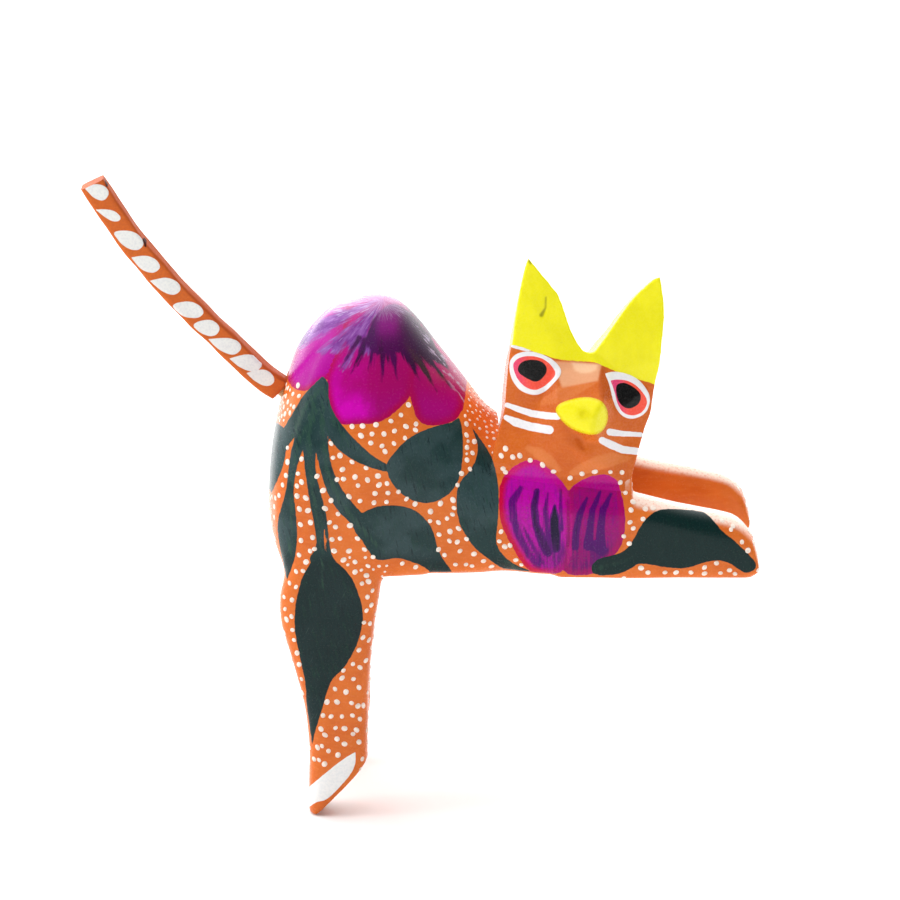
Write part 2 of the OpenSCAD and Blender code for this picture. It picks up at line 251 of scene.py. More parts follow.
# dots that the painter set one by one: along the jaw, the petals and the leaves
DOTS = [(505.5, 448.6), (501.2, 455.7), (512.7, 457.1), (519.8, 455.7), (503, 468.6), (505.3, 471.8),
        (530.2, 460.2), (542.6, 465), (553.5, 471.6), (570.1, 477.9), (582, 473.8), (594.8, 471.6), (610.3, 472),
        (622, 472.4), (620.3, 482.4), (633, 501.7), (631, 510), (645.3, 508.8), (653, 507.8), (643, 519),
        (630, 522.3), (633.3, 528.4), (623.8, 536.3), (629.3, 543.6), (501, 531.7), (499.3, 541.3), (504.7, 546.7),
        (510, 545.5), (515.8, 560), (521.3, 564.8), (352, 426.5), (362.5, 426), (376, 424.8), (391, 421), (401, 415),
        (408.5, 404.8), (361, 435.7), (372, 434), (384, 434), (394.5, 431), (406, 426.5), (416, 424), (415.5, 430),
        (370.8, 443), (382, 446), (385, 451.5), (394, 443.5), (405, 438), (331, 443.5), (333, 457.7), (340, 455.5),
        (352, 462), (342.5, 469.5), (366, 468), (355, 477), (367.5, 480), (378, 476), (337, 479.5), (343.5, 479),
        (358, 485.5), (379, 485), (387, 483.5), (349, 496.5), (360, 501), (375, 493.5), (388, 493), (374, 502.7),
        (386.5, 502), (398.5, 491.8), (406.5, 499), (415, 504), (440.5, 503.5), (453, 500), (430.5, 511.5),
        (452.5, 514.5), (447, 518.5), (430, 521), (438.5, 522.5), (450, 531.5), (458.5, 528.5), (439, 534.5),
        (449.5, 541), (457.3, 542), (466.5, 539), (460, 551), (438.5, 549.5), (444.5, 555), (474, 554), (483.5, 561),
        (455.5, 564.5), (466, 564.5), (472, 566), (491.5, 566.5), (466.5, 424), (466.5, 435),
        (474.5, 441.5), (467, 447.5), (472.5, 453), (467, 460), (470, 469), (461.5, 473.5), (457.5, 485),
        (454, 508), (317, 476.3), (287.6, 447.8), (287.5, 462), (286, 475.5), (282.6, 485), (301.5, 459), (298, 473.6), (301, 474.5), (297, 486), (301.5, 482), (297, 496), (305.8, 498), (323, 490.5), (325, 508.5), (279, 495.5), (275.5, 498),
        (329.5, 522.5), (335.5, 527), (331, 500.5), (338, 514), (350, 525.5), (299.4, 509), (308, 510.5), (300.4, 524.5), (310.5, 522.5), (301, 540.5),
        (312.6, 537.5), (299, 555), (306, 562), (310, 551), (314.5, 549), (332, 539.5),
        (340, 538.5), (334, 551), (349, 551), (357.5, 538.5), (364.5, 549.5), (373, 557), (343.5, 560), (355, 562),
        (368, 566), (355, 572), (366.5, 575.5), (362, 583.5), (368.5, 581.5), (372.5, 590.5), (367.5, 597),
        (371.5, 605), (366.5, 610.5), (364, 622.5), (370, 623.5), (363, 637.5), (369, 640), (359, 650), (353, 664),
        (360, 667.5), (366, 660.5), (343.5, 670.5), (342, 678), (353.5, 679), (335, 689), (346, 692), (359, 687.5),
        (327, 702), (337, 702), (351.5, 703), (358, 706), (363.5, 705.5), (323, 715.5), (331, 716.5), (342, 716.5),
        (352.5, 715.5), (360, 719), (321, 729), (325, 735), (335.5, 728), (344.5, 728.5), (353, 734), (356.5, 730),
        (337, 739), (344.5, 744), (359, 742), (322, 746), (317.5, 747.5), (328.5, 751), (338, 755), (314, 759),
        (319, 760), (324.5, 764), (303, 571), (296, 571.5), (301, 573.5), (289.5, 583), (296, 587), (284, 597),
        (292, 600), (285, 609), (291.5, 616.5), (286.5, 619.5), (292.5, 630), (294, 640), (297, 653), (299, 664.5),
        (301.5, 679), (704.5, 567.5), (691, 572.5), (716.5, 563.2), (665, 572.5), (648, 572.5), (641, 568),
        (720.5, 573), (729.5, 570.3), (735, 573.8), (676, 572.5), (704.5, 573.5), (722, 520.5), (731, 529.5),
        (733, 526), (742, 542), (748, 550.5), (298, 385.5), (293, 394), (299, 396), (288, 402), (294, 407), (285, 414),
        (288, 388), (284, 407), (290, 413), (286, 396), (282, 416)]

# ---------------------------------------------------------------------------
# The carving's stations, in mm (the same design as the CAD source)
# ---------------------------------------------------------------------------
BODY = [[-24.5, 10.5, 17.5, 5.5, 14], [-24.0, 8, 23.5, 11.0, 14.5], [-23.2, 5, 28.5, 14.5, 14.5],
        [-22.3, 2.5, 33.5, 16.6, 14], [-21.2, 0, 38, 17.8, 13], [-20.0, -2, 41.5, 18.8, 12],
        [-18.2, -4, 46.4, 19.7, 12], [-15.0, -4, 51.8, 20.5, 12],
        [-11.0, -4, 55.6, 20.9, 12], [-6.0, -4, 57.7, 21.0, 12], [-1.0, -4, 58.5, 21.0, 12],
        [3.5, -4, 57.1, 20.6, 12], [8.0, -4, 53, 20.0, 12], [13.0, -4, 46.4, 19.4, 11],
        [18.0, -4, 39.8, 19.0, 11], [22.0, -4, 34.4, 19.0, 10], [26.0, -4, 31, 19.2, 10],
        [32.0, -4, 30, 19.8, 9], [40.0, -4, 29, 20.4, 9], [47.0, -4, 28, 20.8, 8], [54.5, -4, 26, 21.0, 8]]
CHEST_X, LEG_T, LEG_Y = 53.0, 10.5, 15.75
FORE = [[-0.5, 20.5], [-0.1, 18.9], [0, 18.5], [0.16, 17.3], [0.34, 16.1], [0.55, 14.9], [0.71, 13.9],
        [0.82, 12.8], [0.9, 10.6], [0.96, 7.6], [1.0, 3.2]]
FORE_L = 29.4
HIND = [[-0.22, -18.6, -1.0], [-0.05, -20.3, 0.4], [0, -20.8, 0.4], [0.09, -21.7, -0.2], [0.19, -21.7, -1.1],
        [0.27, -20.8, -1.6], [0.37, -19.3, -2.2], [0.52, -17.1, -2.8], [0.67, -16.1, -2.9],
        [0.77, -15.8, -2.9], [0.9, -15.8, -3.1], [1.06, -15.8, -4]]
HIND_L = 55.0
SEAT = np.array([-21.6, 0, 37.2])
PEG = np.array([-math.cos(math.radians(42)), 0, math.sin(math.radians(42))])
TAIL = [[-25.0, 39.6], [-28.7, 42.9], [-32.5, 46.8], [-39.4, 53.7], [-46.6, 61.7], [-52.6, 69.1],
        [-57.9, 76.9], [-62.5, 84.4]]
TAIL_W = 5.35
HEAD_O = np.array([40.8, -5.0, 25.3])
ROLL, YAW = math.radians(6), math.radians(3)
NECK_Z = -4.5


def rot_y(a):
    c, s = math.cos(a), math.sin(a)
    return np.array([[c, 0, s], [0, 1, 0], [-s, 0, c]])


def rot_z(a):
    c, s = math.cos(a), math.sin(a)
    return np.array([[c, -s, 0], [s, c, 0], [0, 0, 1]])


HEAD_R = rot_y(ROLL) @ rot_z(YAW)


def head_local(P):
    return (P - HEAD_O) @ HEAD_R


def head_world(Q):
    return np.asarray(Q, float) @ HEAD_R.T + HEAD_O


def smooth_line(rows, n):
    """Catmull-Rom through the rows, n samples in all."""
    R = np.array(rows, float)
    R = np.vstack([2 * R[0] - R[1], R, 2 * R[-1] - R[-2]])
    t = np.linspace(0, len(rows) - 1, n)
    i = np.clip(t.astype(int), 0, len(rows) - 2)
    f = (t - i)[:, None]
    a, b, c, d = R[i], R[i + 1], R[i + 2], R[i + 3]
    return 0.5 * (2 * b + (c - a) * f + (2 * a - 5 * b + 4 * c - d) * f ** 2 + (3 * b - a - 3 * c + d) * f ** 3)


def sg(v, e):
    return np.sign(v) * np.abs(v) ** e


def body_ring(s, n):
    a = np.linspace(0, 2 * math.pi, n, endpoint=False)
    c, d = np.cos(a), np.sin(a)
    up = d >= 0
    lo = max(s[1], -1.1 if s[0] < 10 else -0.6)
    flat = float(np.clip((s[0] - 23) / 8, 0, 1)) * np.where(c < 0, 1.0, 0.0)
    y = s[3] * np.where(up, np.sign(c) * np.abs(c) ** (0.9 - 0.3 * flat), sg(c, 0.2 if lo < 0 else 0.45))
    z = np.where(up, s[4] + (s[2] - s[4]) * np.abs(d) ** (0.95 - 0.15 * flat),
                 s[4] - (s[4] - lo) * np.abs(d) ** 0.5)
    return np.stack([np.full(n, s[0]), y, z], 1)


def skin(rings):
    n = len(rings[0])
    m = len(rings)
    V = np.vstack(rings)
    F = [list(range(n))[::-1]]
    for j in range(m - 1):
        for k in range(n):
            k2 = (k + 1) % n
            F.append([j * n + k, j * n + k2, (j + 1) * n + k2, (j + 1) * n + k])
    F.append([(m - 1) * n + k for k in range(n)])
    return V, F


def join(parts):
    V, F, o = [], [], 0
    for v, f in parts:
        V.append(np.asarray(v, float))
        F += [[i + o for i in q] for q in f]
        o += len(v)
    return np.vstack(V), F


def make(name, V, F):
    me = bpy.data.meshes.new(name)
    me.from_pydata([tuple(v) for v in (np.asarray(V) * MM)], [], F)
    me.validate()
    me.update()
    ob = bpy.data.objects.new(name, me)
    scene.collection.objects.link(ob)
    bm = bmesh.new()
    bm.from_mesh(me)
    bmesh.ops.recalc_face_normals(bm, faces=bm.faces)
    bm.to_mesh(me)
    bm.free()
    return ob


def bake_modifiers(ob):
    dg = bpy.context.evaluated_depsgraph_get()
    me = bpy.data.meshes.new_from_object(ob.evaluated_get(dg))
    ob.modifiers.clear()
    old = ob.data
    ob.data = me
    bpy.data.meshes.remove(old)
    return ob


def remesh(ob, size):
    m = ob.modifiers.new("remesh", "REMESH")
    m.mode = "VOXEL"
    m.voxel_size = size * MM
    m.adaptivity = 0
    return bake_modifiers(ob)


def boolean(ob, other, op="DIFFERENCE"):
    m = ob.modifiers.new("cut", "BOOLEAN")
    m.operation = op
    m.solver = "EXACT"
    m.object = other
    bake_modifiers(ob)
    bpy.data.objects.remove(other)
    return ob


def coords(ob):
    n = len(ob.data.vertices)
    co = np.zeros(n * 3)
    ob.data.vertices.foreach_get("co", co)
    return co.reshape(-1, 3) / MM


def set_coords(ob, co):
    ob.data.vertices.foreach_set("co", (co * MM).ravel())
    ob.data.update()


def normals(ob):
    n = len(ob.data.vertices)
    no = np.zeros(n * 3)
    ob.data.vertices.foreach_get("normal", no)
    return no.reshape(-1, 3)


def laplace(ob, rounds, factor=0.5, keep=None):
    e = np.zeros(len(ob.data.edges) * 2, int)
    ob.data.edges.foreach_get("vertices", e)
    e = e.reshape(-1, 2)
    co = coords(ob)
    deg = np.bincount(e.ravel(), minlength=len(co)).astype(float)[:, None]
    deg[deg == 0] = 1
    for r in range(rounds):
        acc = np.zeros_like(co)
        for k in range(3):
            acc[:, k] = np.bincount(e[:, 0], co[e[:, 1], k], len(co)) + np.bincount(e[:, 1], co[e[:, 0], k], len(co))
        step = (acc / deg - co) * factor
        if keep is not None:
            step *= keep(co)[:, None]
        co = co + step
    set_coords(ob, co)


def lumps(P, scale, seed=0.0):
    return np.array([noise.noise(Vector((p[0] / scale + seed, p[1] / scale - seed, p[2] / scale + 3 * seed)))
                     for p in P])


def knife(P, scale, seed=0.0):
    """Facet-like field: distance to scattered cell centres, as shallow knife cuts leave."""
    out = np.zeros(len(P))
    for i, p in enumerate(P):
        d = noise.voronoi(Vector((p[0] / scale + seed, p[1] / scale, p[2] / scale * 0.6)))[0]
        out[i] = d[0]
    return out


def cut(ob, point, normal, keep_positive=True):
    """Slice with a plane, drop one side and close the cut with a flat face."""
    bm = bmesh.new()
    bm.from_mesh(ob.data)
    r = bmesh.ops.bisect_plane(bm, geom=bm.verts[:] + bm.edges[:] + bm.faces[:], dist=1e-7,
                               plane_co=Vector(np.array(point) * MM), plane_no=Vector(normal),
                               clear_outer=not keep_positive, clear_inner=keep_positive)
    edges = [g for g in r["geom_cut"] if isinstance(g, bmesh.types.BMEdge)]
    if edges:
        bmesh.ops.triangle_fill(bm, use_beauty=True, use_dissolve=False, edges=edges,
                                normal=Vector(normal) * (-1 if keep_positive else 1))
    bmesh.ops.recalc_face_normals(bm, faces=bm.faces)
    bm.to_mesh(ob.data)
    bm.free()
    ob.data.update()
    return ob


def box_mesh(lo, hi):
    V = np.array([[x, y, z] for x in (lo[0], hi[0]) for y in (lo[1], hi[1]) for z in (lo[2], hi[2])], float)
    F = [[0, 1, 3, 2], [4, 6, 7, 5], [0, 4, 5, 1], [2, 3, 7, 6], [0, 2, 6, 4], [1, 5, 7, 3]]
    return V, F


def cyl_mesh(a, b, r, n=64):
    a, b = np.array(a, float), np.array(b, float)
    d = (b - a) / np.linalg.norm(b - a)
    u = np.cross(d, [0, 1, 0])
    u /= np.linalg.norm(u)
    w = np.cross(d, u)
    t = np.linspace(0, 2 * math.pi, n, endpoint=False)
    ring = np.cos(t)[:, None] * u * r + np.sin(t)[:, None] * w * r
    return skin([a + ring, b + ring])


# ---------------------------------------------------------------------------
# Geometry
# ---------------------------------------------------------------------------
VOX = 0.42


def body_rings(n_rings=150, n=112, lift=0.0):
    S = smooth_line(BODY, n_rings)
    S[:, 3] = np.maximum(S[:, 3], 2)
    return [body_ring(s, n) for s in S]


def fore_rings(side, n=72):
    S = smooth_line(FORE, 90)
    out = []
    a = np.linspace(0, 2 * math.pi, n, endpoint=False)
    for f, z1 in S:
        zl = -0.8 + 2.0 * float(np.clip((f - 0.9) / 0.1, 0, 1)) ** 2
        t = LEG_T - 1.2 * max(f, 0)
        out.append(np.stack([np.full(n, CHEST_X + f * FORE_L), side * LEG_Y + t / 2 * sg(np.cos(a), 0.6),
                             (z1 + zl) / 2 + (z1 - zl) / 2 * sg(np.sin(a), 0.6)], 1))
    return out


def hind_rings(side, n=72):
    S = smooth_line(HIND, 110)
    out = []
    a = np.linspace(0, 2 * math.pi, n, endpoint=False)
    for f, x0, x1 in S:
        out.append(np.stack([(x0 + x1) / 2 + (x1 - x0) / 2 * sg(np.cos(a), 0.6),
                             side * LEG_Y + LEG_T / 2 * sg(np.sin(a), 0.6), np.full(n, -f * HIND_L)], 1))
    return out


def drop_loose(ob):
    bm = bmesh.new()
    bm.from_mesh(ob.data)
    bmesh.ops.delete(bm, geom=[v for v in bm.verts if not v.link_faces], context="VERTS")
    bm.to_mesh(ob.data)
    bm.free()


def whittle(ob, amount, scale, seed, knife_amount=0.0, knife_scale=9.0):
    P = coords(ob)
    N = normals(ob)
    h = amount * lumps(P, scale, seed)
    if knife_amount:
        h = h + knife_amount * (knife(P, knife_scale, seed) - 0.45)
    set_coords(ob, P + N * h[:, None])


def tree_of(ob):
    me = ob.data
    co = coords(ob)
    me.calc_loop_triangles()
    tri = np.zeros(len(me.loop_triangles) * 3, int)
    me.loop_triangles.foreach_get("vertices", tri)
    return BVHTree.FromPolygons([Vector(c) for c in co], [tuple(int(i) for i in t) for t in tri.reshape(-1, 3)])


def copy_of(ob, name):
    new = ob.copy()
    new.data = ob.data.copy()
    new.name = name
    scene.collection.objects.link(new)
    return new


def parts_of(ob):
    return coords(ob), [list(q.vertices) for q in ob.data.polygons]


# -- the whole carving is shaped as one form, then sawn along its joints, so that
#    the surface runs on across each joint
forms = [skin(body_rings())]
toe = (math.sin(math.radians(47)), 0, -math.cos(math.radians(47)))
for s in (-1, 1):
    forms.append(skin(fore_rings(s)))
    tmp = make("tmp", *skin(hind_rings(s)[::-1]))
    cut(tmp, (0, 0, -HIND_L), (0, 0, 1))
    cut(tmp, (-14.3, 0, -HIND_L + 0.1), toe, keep_positive=False)
    forms.append(parts_of(tmp))
    bpy.data.objects.remove(tmp)
whole = make("whole", *join(forms))
remesh(whole, VOX)


def soft(co):
    """Legs keep squarer corners than the body."""
    w = np.ones(len(co))
    w = np.where((co[:, 0] > CHEST_X - 1) & (co[:, 2] > 0.5), 0.45, w)
    w = np.where(co[:, 2] < -2, 0.5, w)
    return np.where(co[:, 2] < -HIND_L + 12, 0.25, w)


laplace(whole, 12, keep=soft)
whittle(whole, 0.32, 14, 1.7, 0.25, 10)
P = coords(whole)
low = np.exp(-((P[:, 0] - 27) / 5.5) ** 2) * np.clip(1 - P[:, 2] / 6, 0, 1) * (np.abs(P[:, 1]) > 8)
P[:, 1] *= 1 - 0.13 * low
set_coords(whole, P)
laplace(whole, 3, keep=soft)
whole_tree = tree_of(whole)
print("whole", len(whole.data.vertices))

legs = {}
for s, tag in ((-1, "right"), (1, "left")):
    fore = copy_of(whole, "cat_foreleg_" + tag)
    cut(fore, (CHEST_X, 0, 0), (1, 0, 0))
    cut(fore, (0, 0, 0), (0, s, 0))
    cut(fore, (0, 0, 0), (0, 0, 1))
    hind = copy_of(whole, "cat_hind_leg_" + tag)
    cut(hind, (0, 0, 2.0), (0, 0, 1), keep_positive=False)
    cut(hind, (0.4, 0, 0), (1, 0, 0), keep_positive=False)
    cut(hind, (0, s * 10.5, 0), (0, s, 0))
    legs["fore", tag], legs["hind", tag] = fore, hind
body = whole
body.name = "cat_body"
cut(body, (0, 0, 0), (0, 0, 1))
cut(body, (CHEST_X, 0, 0), (1, 0, 0), keep_positive=False)
for s in (-1, 1):
    V, F = box_mesh((-40, min(s * 10.5, s * 30), -3), (0.4, max(s * 10.5, s * 30), 2.0))
    boolean(body, make("tmp", V, F))


def prism(outline, lo, hi, along, drop=0.0, taper=0.0):
    """An outline drawn on a plane and carried along an axis, falling by drop for each mm."""
    rings = []
    for t in (lo, hi):
        if along == "y":
            rings.append(np.array([[x * (1 - taper * (t + 9.4)), t, z - drop * (t + 9.4)] for x, z in outline]))
        else:
            rings.append(np.array([[t, y, z] for y, z in outline]))
    return skin(rings)


V, F = prism([(-17.2, NECK_Z), (-16.8, -2), (-15.7, 1.8), (-15.2, 6), (-15.0, 12), (-15.1, 60), (60, 60), (60, NECK_Z)], -40, 40, "y")
boolean(body, make("tmp", head_world(V), F))
# far shoulder pared down behind the head
V, F = prism([(14.3, NECK_Z - 0.02), (20, NECK_Z - 3.0), (32, NECK_Z - 12), (32, 40), (14.3, 40)], -17.2, 60, "x")
boolean(body, make("tmp", head_world(V), F))
V, F = cyl_mesh(SEAT, SEAT + PEG * 10, 4.1)
boolean(body, make("tmp", V, F))
boolean(body, make("tmp", *cyl_mesh(SEAT - PEG * 13, SEAT + PEG * 1, 1.55)))
print("body", len(body.data.vertices))

# -- head: a block split out with flat knife cuts, ears and all
FALL = math.tan(math.radians(20))


def lean(z):
    return -9.4 + np.clip(z - 26, 0, None) * 3.2 / 18


front = [(-17.6, -13), (-16.9, 1), (-16.3, 4.8), (-15.7, 8.1), (-15.4, 10.7), (-15.65, 15.3), (-15.75, 19.6),
         (-15.7, 23.6), (-15.4, 25.4), (-15.4, 29.5), (-15.2, 33.6), (-14.85, 38.1), (-14.45, 41.4), (-13.95, 43.6),
         (-11.4, 41.1), (-8.9, 38.7), (-6.6, 36.4), (-5.35, 34.1), (-4.2, 31.5), (-3.15, 29.2), (-1.5, 26.6),
         (-0.3, 25.1), (0.5, 24.6), (1.6, 24.5), (2.5, 24.85), (3.4, 26.3), (4.9, 28.8), (6.5, 31.7), (8.2, 34.6),
         (10.0, 37.3), (12.2, 39.7), (14.1, 41.6), (15.2, 42.0), (15.7, 40.3), (16.6, 36.3), (16.9, 33.6),
         (16.9, 28.8), (16.8, 23.2), (16.45, 19.2), (16.35, 16.7), (16.2, 12.4), (15.25, 8.7), (14.4, 4.2),
         (13.85, 0.9), (13.4, -2), (13, -5.6), (12.4, -13)]
front = [(x, z + FALL * (float(lean(z)) + 9.4)) for x, z in front]
side = [(-25, -9), (-25, 46), (-3.3, 46), (-1.4, 34), (2, 26.5), (8, 22.5), (12, 16.5), (14.2, 9), (14.5, 2),
        (14, -9)]
# the face's planes: x, z and depth in front of the head's centre plane
DEEP = 1.25
RELIEF = [(-24, 50, 5.2), (24, 50, 5.2), (-24, 26, 9.4), (24, 26, 9.4), (0, 26, 9.5),
          (-15.6, 24.7, 9.4), (-5.7, 22.8, 9.9), (2.4, 22.8, 10.4), (6.9, 21.0, 9.9), (15.9, 18.8, 9.2),
          (3.8, 22.0, 11.0), (4.7, 16.1, 14.9),
          (-5.6, 20.6, 10.0), (-8.2, 13.2, 10.7), (-5.0, 15.2, 13.4),
          (7.8, 12.4, 12.3), (2.8, 12.9, 16.7), (3.0, 9.6, 16.5),
          (1.7, 6.6, 14.0), (-2.0, 5.6, 14.2), (5.4, 6.2, 14.4), (3.2, 2.8, 14.6), (3.6, -1.2, 13.9),
          (2.5, -6, 13.5), (-15.4, 10.7, 9.4), (-16.3, 4.8, 9.9), (-17, -6, 11.7), (-24, 4, 9.2), (-24, -14, 11.0),
          (-9.5, 4.0, 11.5), (-6.5, -1.8, 12.9), (14.9, 8.7, 9.7), (14.1, 3.4, 11.0), (13, -6, 13.2),
          (24, 4, 9.4), (24, -14, 12.5), (11.2, 6.0, 11.4), (9.0, 0.0, 13.3), (0, -14, 13.5), (-4.6, 11.6, 13.9)]
CREASES = [(10, 11), (11, 16), (16, 17), (17, 18), (18, 21), (21, 22), (12, 13), (12, 14), (14, 11), (14, 39),
           (13, 39), (10, 12), (10, 8), (8, 15), (39, 19), (19, 21), (20, 21), (13, 29), (29, 30), (15, 36), (36, 37)]


def relief_mesh(step):
    from mathutils.geometry import delaunay_2d_cdt
    pts = [Vector((q[0], q[1])) for q in RELIEF]
    vo, _, fo, *_ = delaunay_2d_cdt(pts, CREASES, [], 0, 1e-5)
    assert len(vo) == len(pts)
    order = [min(range(len(pts)), key=lambda i: (pts[i] - v).length) for v in vo]
    deep = [(q[0], q[1], q[2] if q[1] < 0 or q[2] < 9.5 else 9.4 + (q[2] - 9.4) * DEEP) for q in RELIEF]
    xs, zs = np.arange(-22, 22.01, step), np.arange(-12, 48.01, step)
    X, Z = np.meshgrid(xs, zs)
    D = np.full(X.shape, 9.4)
    for f in fo:
        a, b, c = (np.array(deep[order[i]]) for i in f)
        det = (b[1] - c[1]) * (a[0] - c[0]) + (c[0] - b[0]) * (a[1] - c[1])
        u = ((b[1] - c[1]) * (X - c[0]) + (c[0] - b[0]) * (Z - c[1])) / det
        v = ((c[1] - a[1]) * (X - c[0]) + (a[0] - c[0]) * (Z - c[1])) / det
        w = 1 - u - v
        m = (u > -1e-6) & (v > -1e-6) & (w > -1e-6)
        D[m] = (u * a[2] + v * b[2] + w * c[2])[m]
    nz, nx = X.shape
    fr = np.stack([X, -D, Z], -1).reshape(-1, 3)
    bk = np.stack([X, np.full_like(X, 22.0), Z], -1).reshape(-1, 3)
    V = np.vstack([fr, bk])
    o = nx * nz
    F = []
    for j in range(nz - 1):
        for i in range(nx - 1):
            q = [j * nx + i, j * nx + i + 1, (j + 1) * nx + i + 1, (j + 1) * nx + i]
            F.append(q)
            F.append([k + o for k in q[::-1]])
    for i in range(nx - 1):
        F.append([i, i + o, i + 1 + o, i + 1])
        t = (nz - 1) * nx
        F.append([t + i, t + i + 1, t + i + 1 + o, t + i + o])
    for j in range(nz - 1):
        a, b = j * nx, (j + 1) * nx
        F.append([a, b, b + o, a + o])
        a, b = a + nx - 1, b + nx - 1
        F.append([a, a + o, b + o, b])
    return V, F


V, F = relief_mesh(0.5)
head = make("cat_head", head_world(V), F)
V, F = prism(front, -24, 24, "y", FALL, 0.004)
boolean(head, make("tmp", head_world(V), F), "INTERSECT")
V, F = prism(side, -24, 24, "x")
boolean(head, make("tmp", head_world(V), F), "INTERSECT")
remesh(head, 0.33)
laplace(head, 2)
# foot of the face: flush with the chest that it sits on
P = coords(head)
L = head_local(P)
N = normals(head) @ HEAD_R
for i in np.nonzero((L[:, 2] < NECK_Z + 3.0) & (N[:, 1] < -0.3))[0]:
    hit = whole_tree.ray_cast(Vector((P[i][0], -60, P[i][2])), Vector((0, 1, 0)))
    if hit[0] is not None and P[i][0] < CHEST_X + 0.6:
        k = float(np.clip((NECK_Z + 3.0 - L[i][2]) / 3.0, 0, 1))
        k = k * k * (3 - 2 * k)
        P[i][1] += (hit[0].y - P[i][1]) * k
set_coords(head, P)
L = head_local(P)
S = sheet(P)
N = normals(head)
facing = np.clip((-(N @ HEAD_R)[:, 1] - 0.2) / 0.3, 0, 1) * (L[:, 1] < -6)


def ramp(d, w):
    t = np.clip(d / w, 0, 1)
    return t * t * (3 - 2 * t)


d_nose = sd_poly(S, NOSE)
lift = 0.5 * ramp(d_nose + 1.0, 5) * facing
lift -= 0.35 * np.exp(-((S[:, 0] - 583.5) ** 2 + (S[:, 1] - 414) ** 2) / 2.2 ** 2) * facing
# mouth groove under the nose, and a small knife nick on one ear
lift -= 0.4 * ramp(sd_stroke(S, [(580, 437), (583, 447)], [4.0, 2.4]) + 1, 2.6) * facing
lift -= 0.30 * ramp(sd_stroke(S, [(546, 297), (545.5, 308), (541.5, 315)], [0.6, 1.2, 2.2]) + 1, 2.4) * facing
lift += 0.25 * ramp(sd_poly(S, EYE_L[0]) + 1, 2.5) * facing + 0.25 * ramp(sd_poly(S, EYE_R[0]) + 1, 2.5) * facing
lift += 0.06 * lumps(P, 6.0, 9.0) * (L[:, 2] > NECK_Z + 3)
set_coords(head, P + N * lift[:, None])
laplace(head, 1, keep=lambda co: (head_local(co)[:, 2] > NECK_Z + 2).astype(float))
cut(head, head_world([[0, 0, NECK_Z]])[0], tuple(HEAD_R @ np.array([0, 0, 1.0])))
print("head", len(head.data.vertices))

# -- tail: whittled square stick
T = smooth_line([[SEAT[0] + PEG[0] * 0.3, SEAT[2] + PEG[2] * 0.3]] + TAIL, 130)
rings = []
for i, c in enumerate(T):
    d = T[min(i + 1, len(T) - 1)] - T[max(i - 1, 0)]
    d = d / np.linalg.norm(d)
    if i < 12:
        d = np.array([PEG[0], PEG[2]])
    nx = np.array([-d[1], d[0]])
    w = TAIL_W
    a = np.linspace(0, 2 * math.pi, 40, endpoint=False) + math.pi / 4
    u, v = sg(np.cos(a), 0.32) * w / 2 * 1.0, sg(np.sin(a), 0.32) * w / 2
    rings.append(np.stack([c[0] + nx[0] * u, v, c[1] + nx[1] * u], 1))
tail = make("cat_tail", *skin(rings))
remesh(tail, 0.2)
laplace(tail, 3)
whittle(tail, 0.22, 5, 11.0, 0.18, 6)
laplace(tail, 1)
cut(tail, SEAT + PEG * 0.3, tuple(PEG))
tip = np.array([TAIL[-1][0], 0, TAIL[-1][1]])
cut(tail, tip + np.array([0.5, 0, -0.65]), (0.44, 0, -0.90), keep_positive=True)
boolean(tail, make("tmp", *cyl_mesh(SEAT - PEG * 1, SEAT + PEG * 8, 1.55)))
print("tail", len(tail.data.vertices))

for ob in [body, head, tail] + list(legs.values()):
    drop_loose(ob)
    ob.data.polygons.foreach_set("use_smooth", [True] * len(ob.data.polygons))
    ob.data.set_sharp_from_angle(angle=math.radians(48))

# ---------------------------------------------------------------------------
# Painting: signed distances (mm, positive inside) held on the vertices
# ---------------------------------------------------------------------------


def put(ob, name, values):
    a = ob.data.attributes.get(name) or ob.data.attributes.new(name, "FLOAT", "POINT")
    a.data.foreach_set("value", np.asarray(values, np.float32))


def sstep(x, a, b):
    t = np.clip((x - a) / (b - a), 0, 1)
    return t * t * (3 - 2 * t)


def paint_heart(ob, S, far):
    heart_l = sd_poly(S, HEART_L)
    heart_r = sd_poly(S, HEART_R)
    heart = np.maximum(heart_l, heart_r)
    hedge = np.where(heart_l > 0, heart_l, np.where(heart_r > 0, heart_r, heart))
    ink = np.zeros(len(S))
    for pts, w, k in HEART_STROKES:
        ink = np.maximum(ink, k * sstep(sd_stroke(S, pts, w), -1.6, 1.8))
    put(ob, "heart", (heart - far) * UNIT)
    put(ob, "heart_edge", hedge * UNIT)
    put(ob, "heart_right", (heart_l <= 0).astype(float))
    put(ob, "ink", ink)


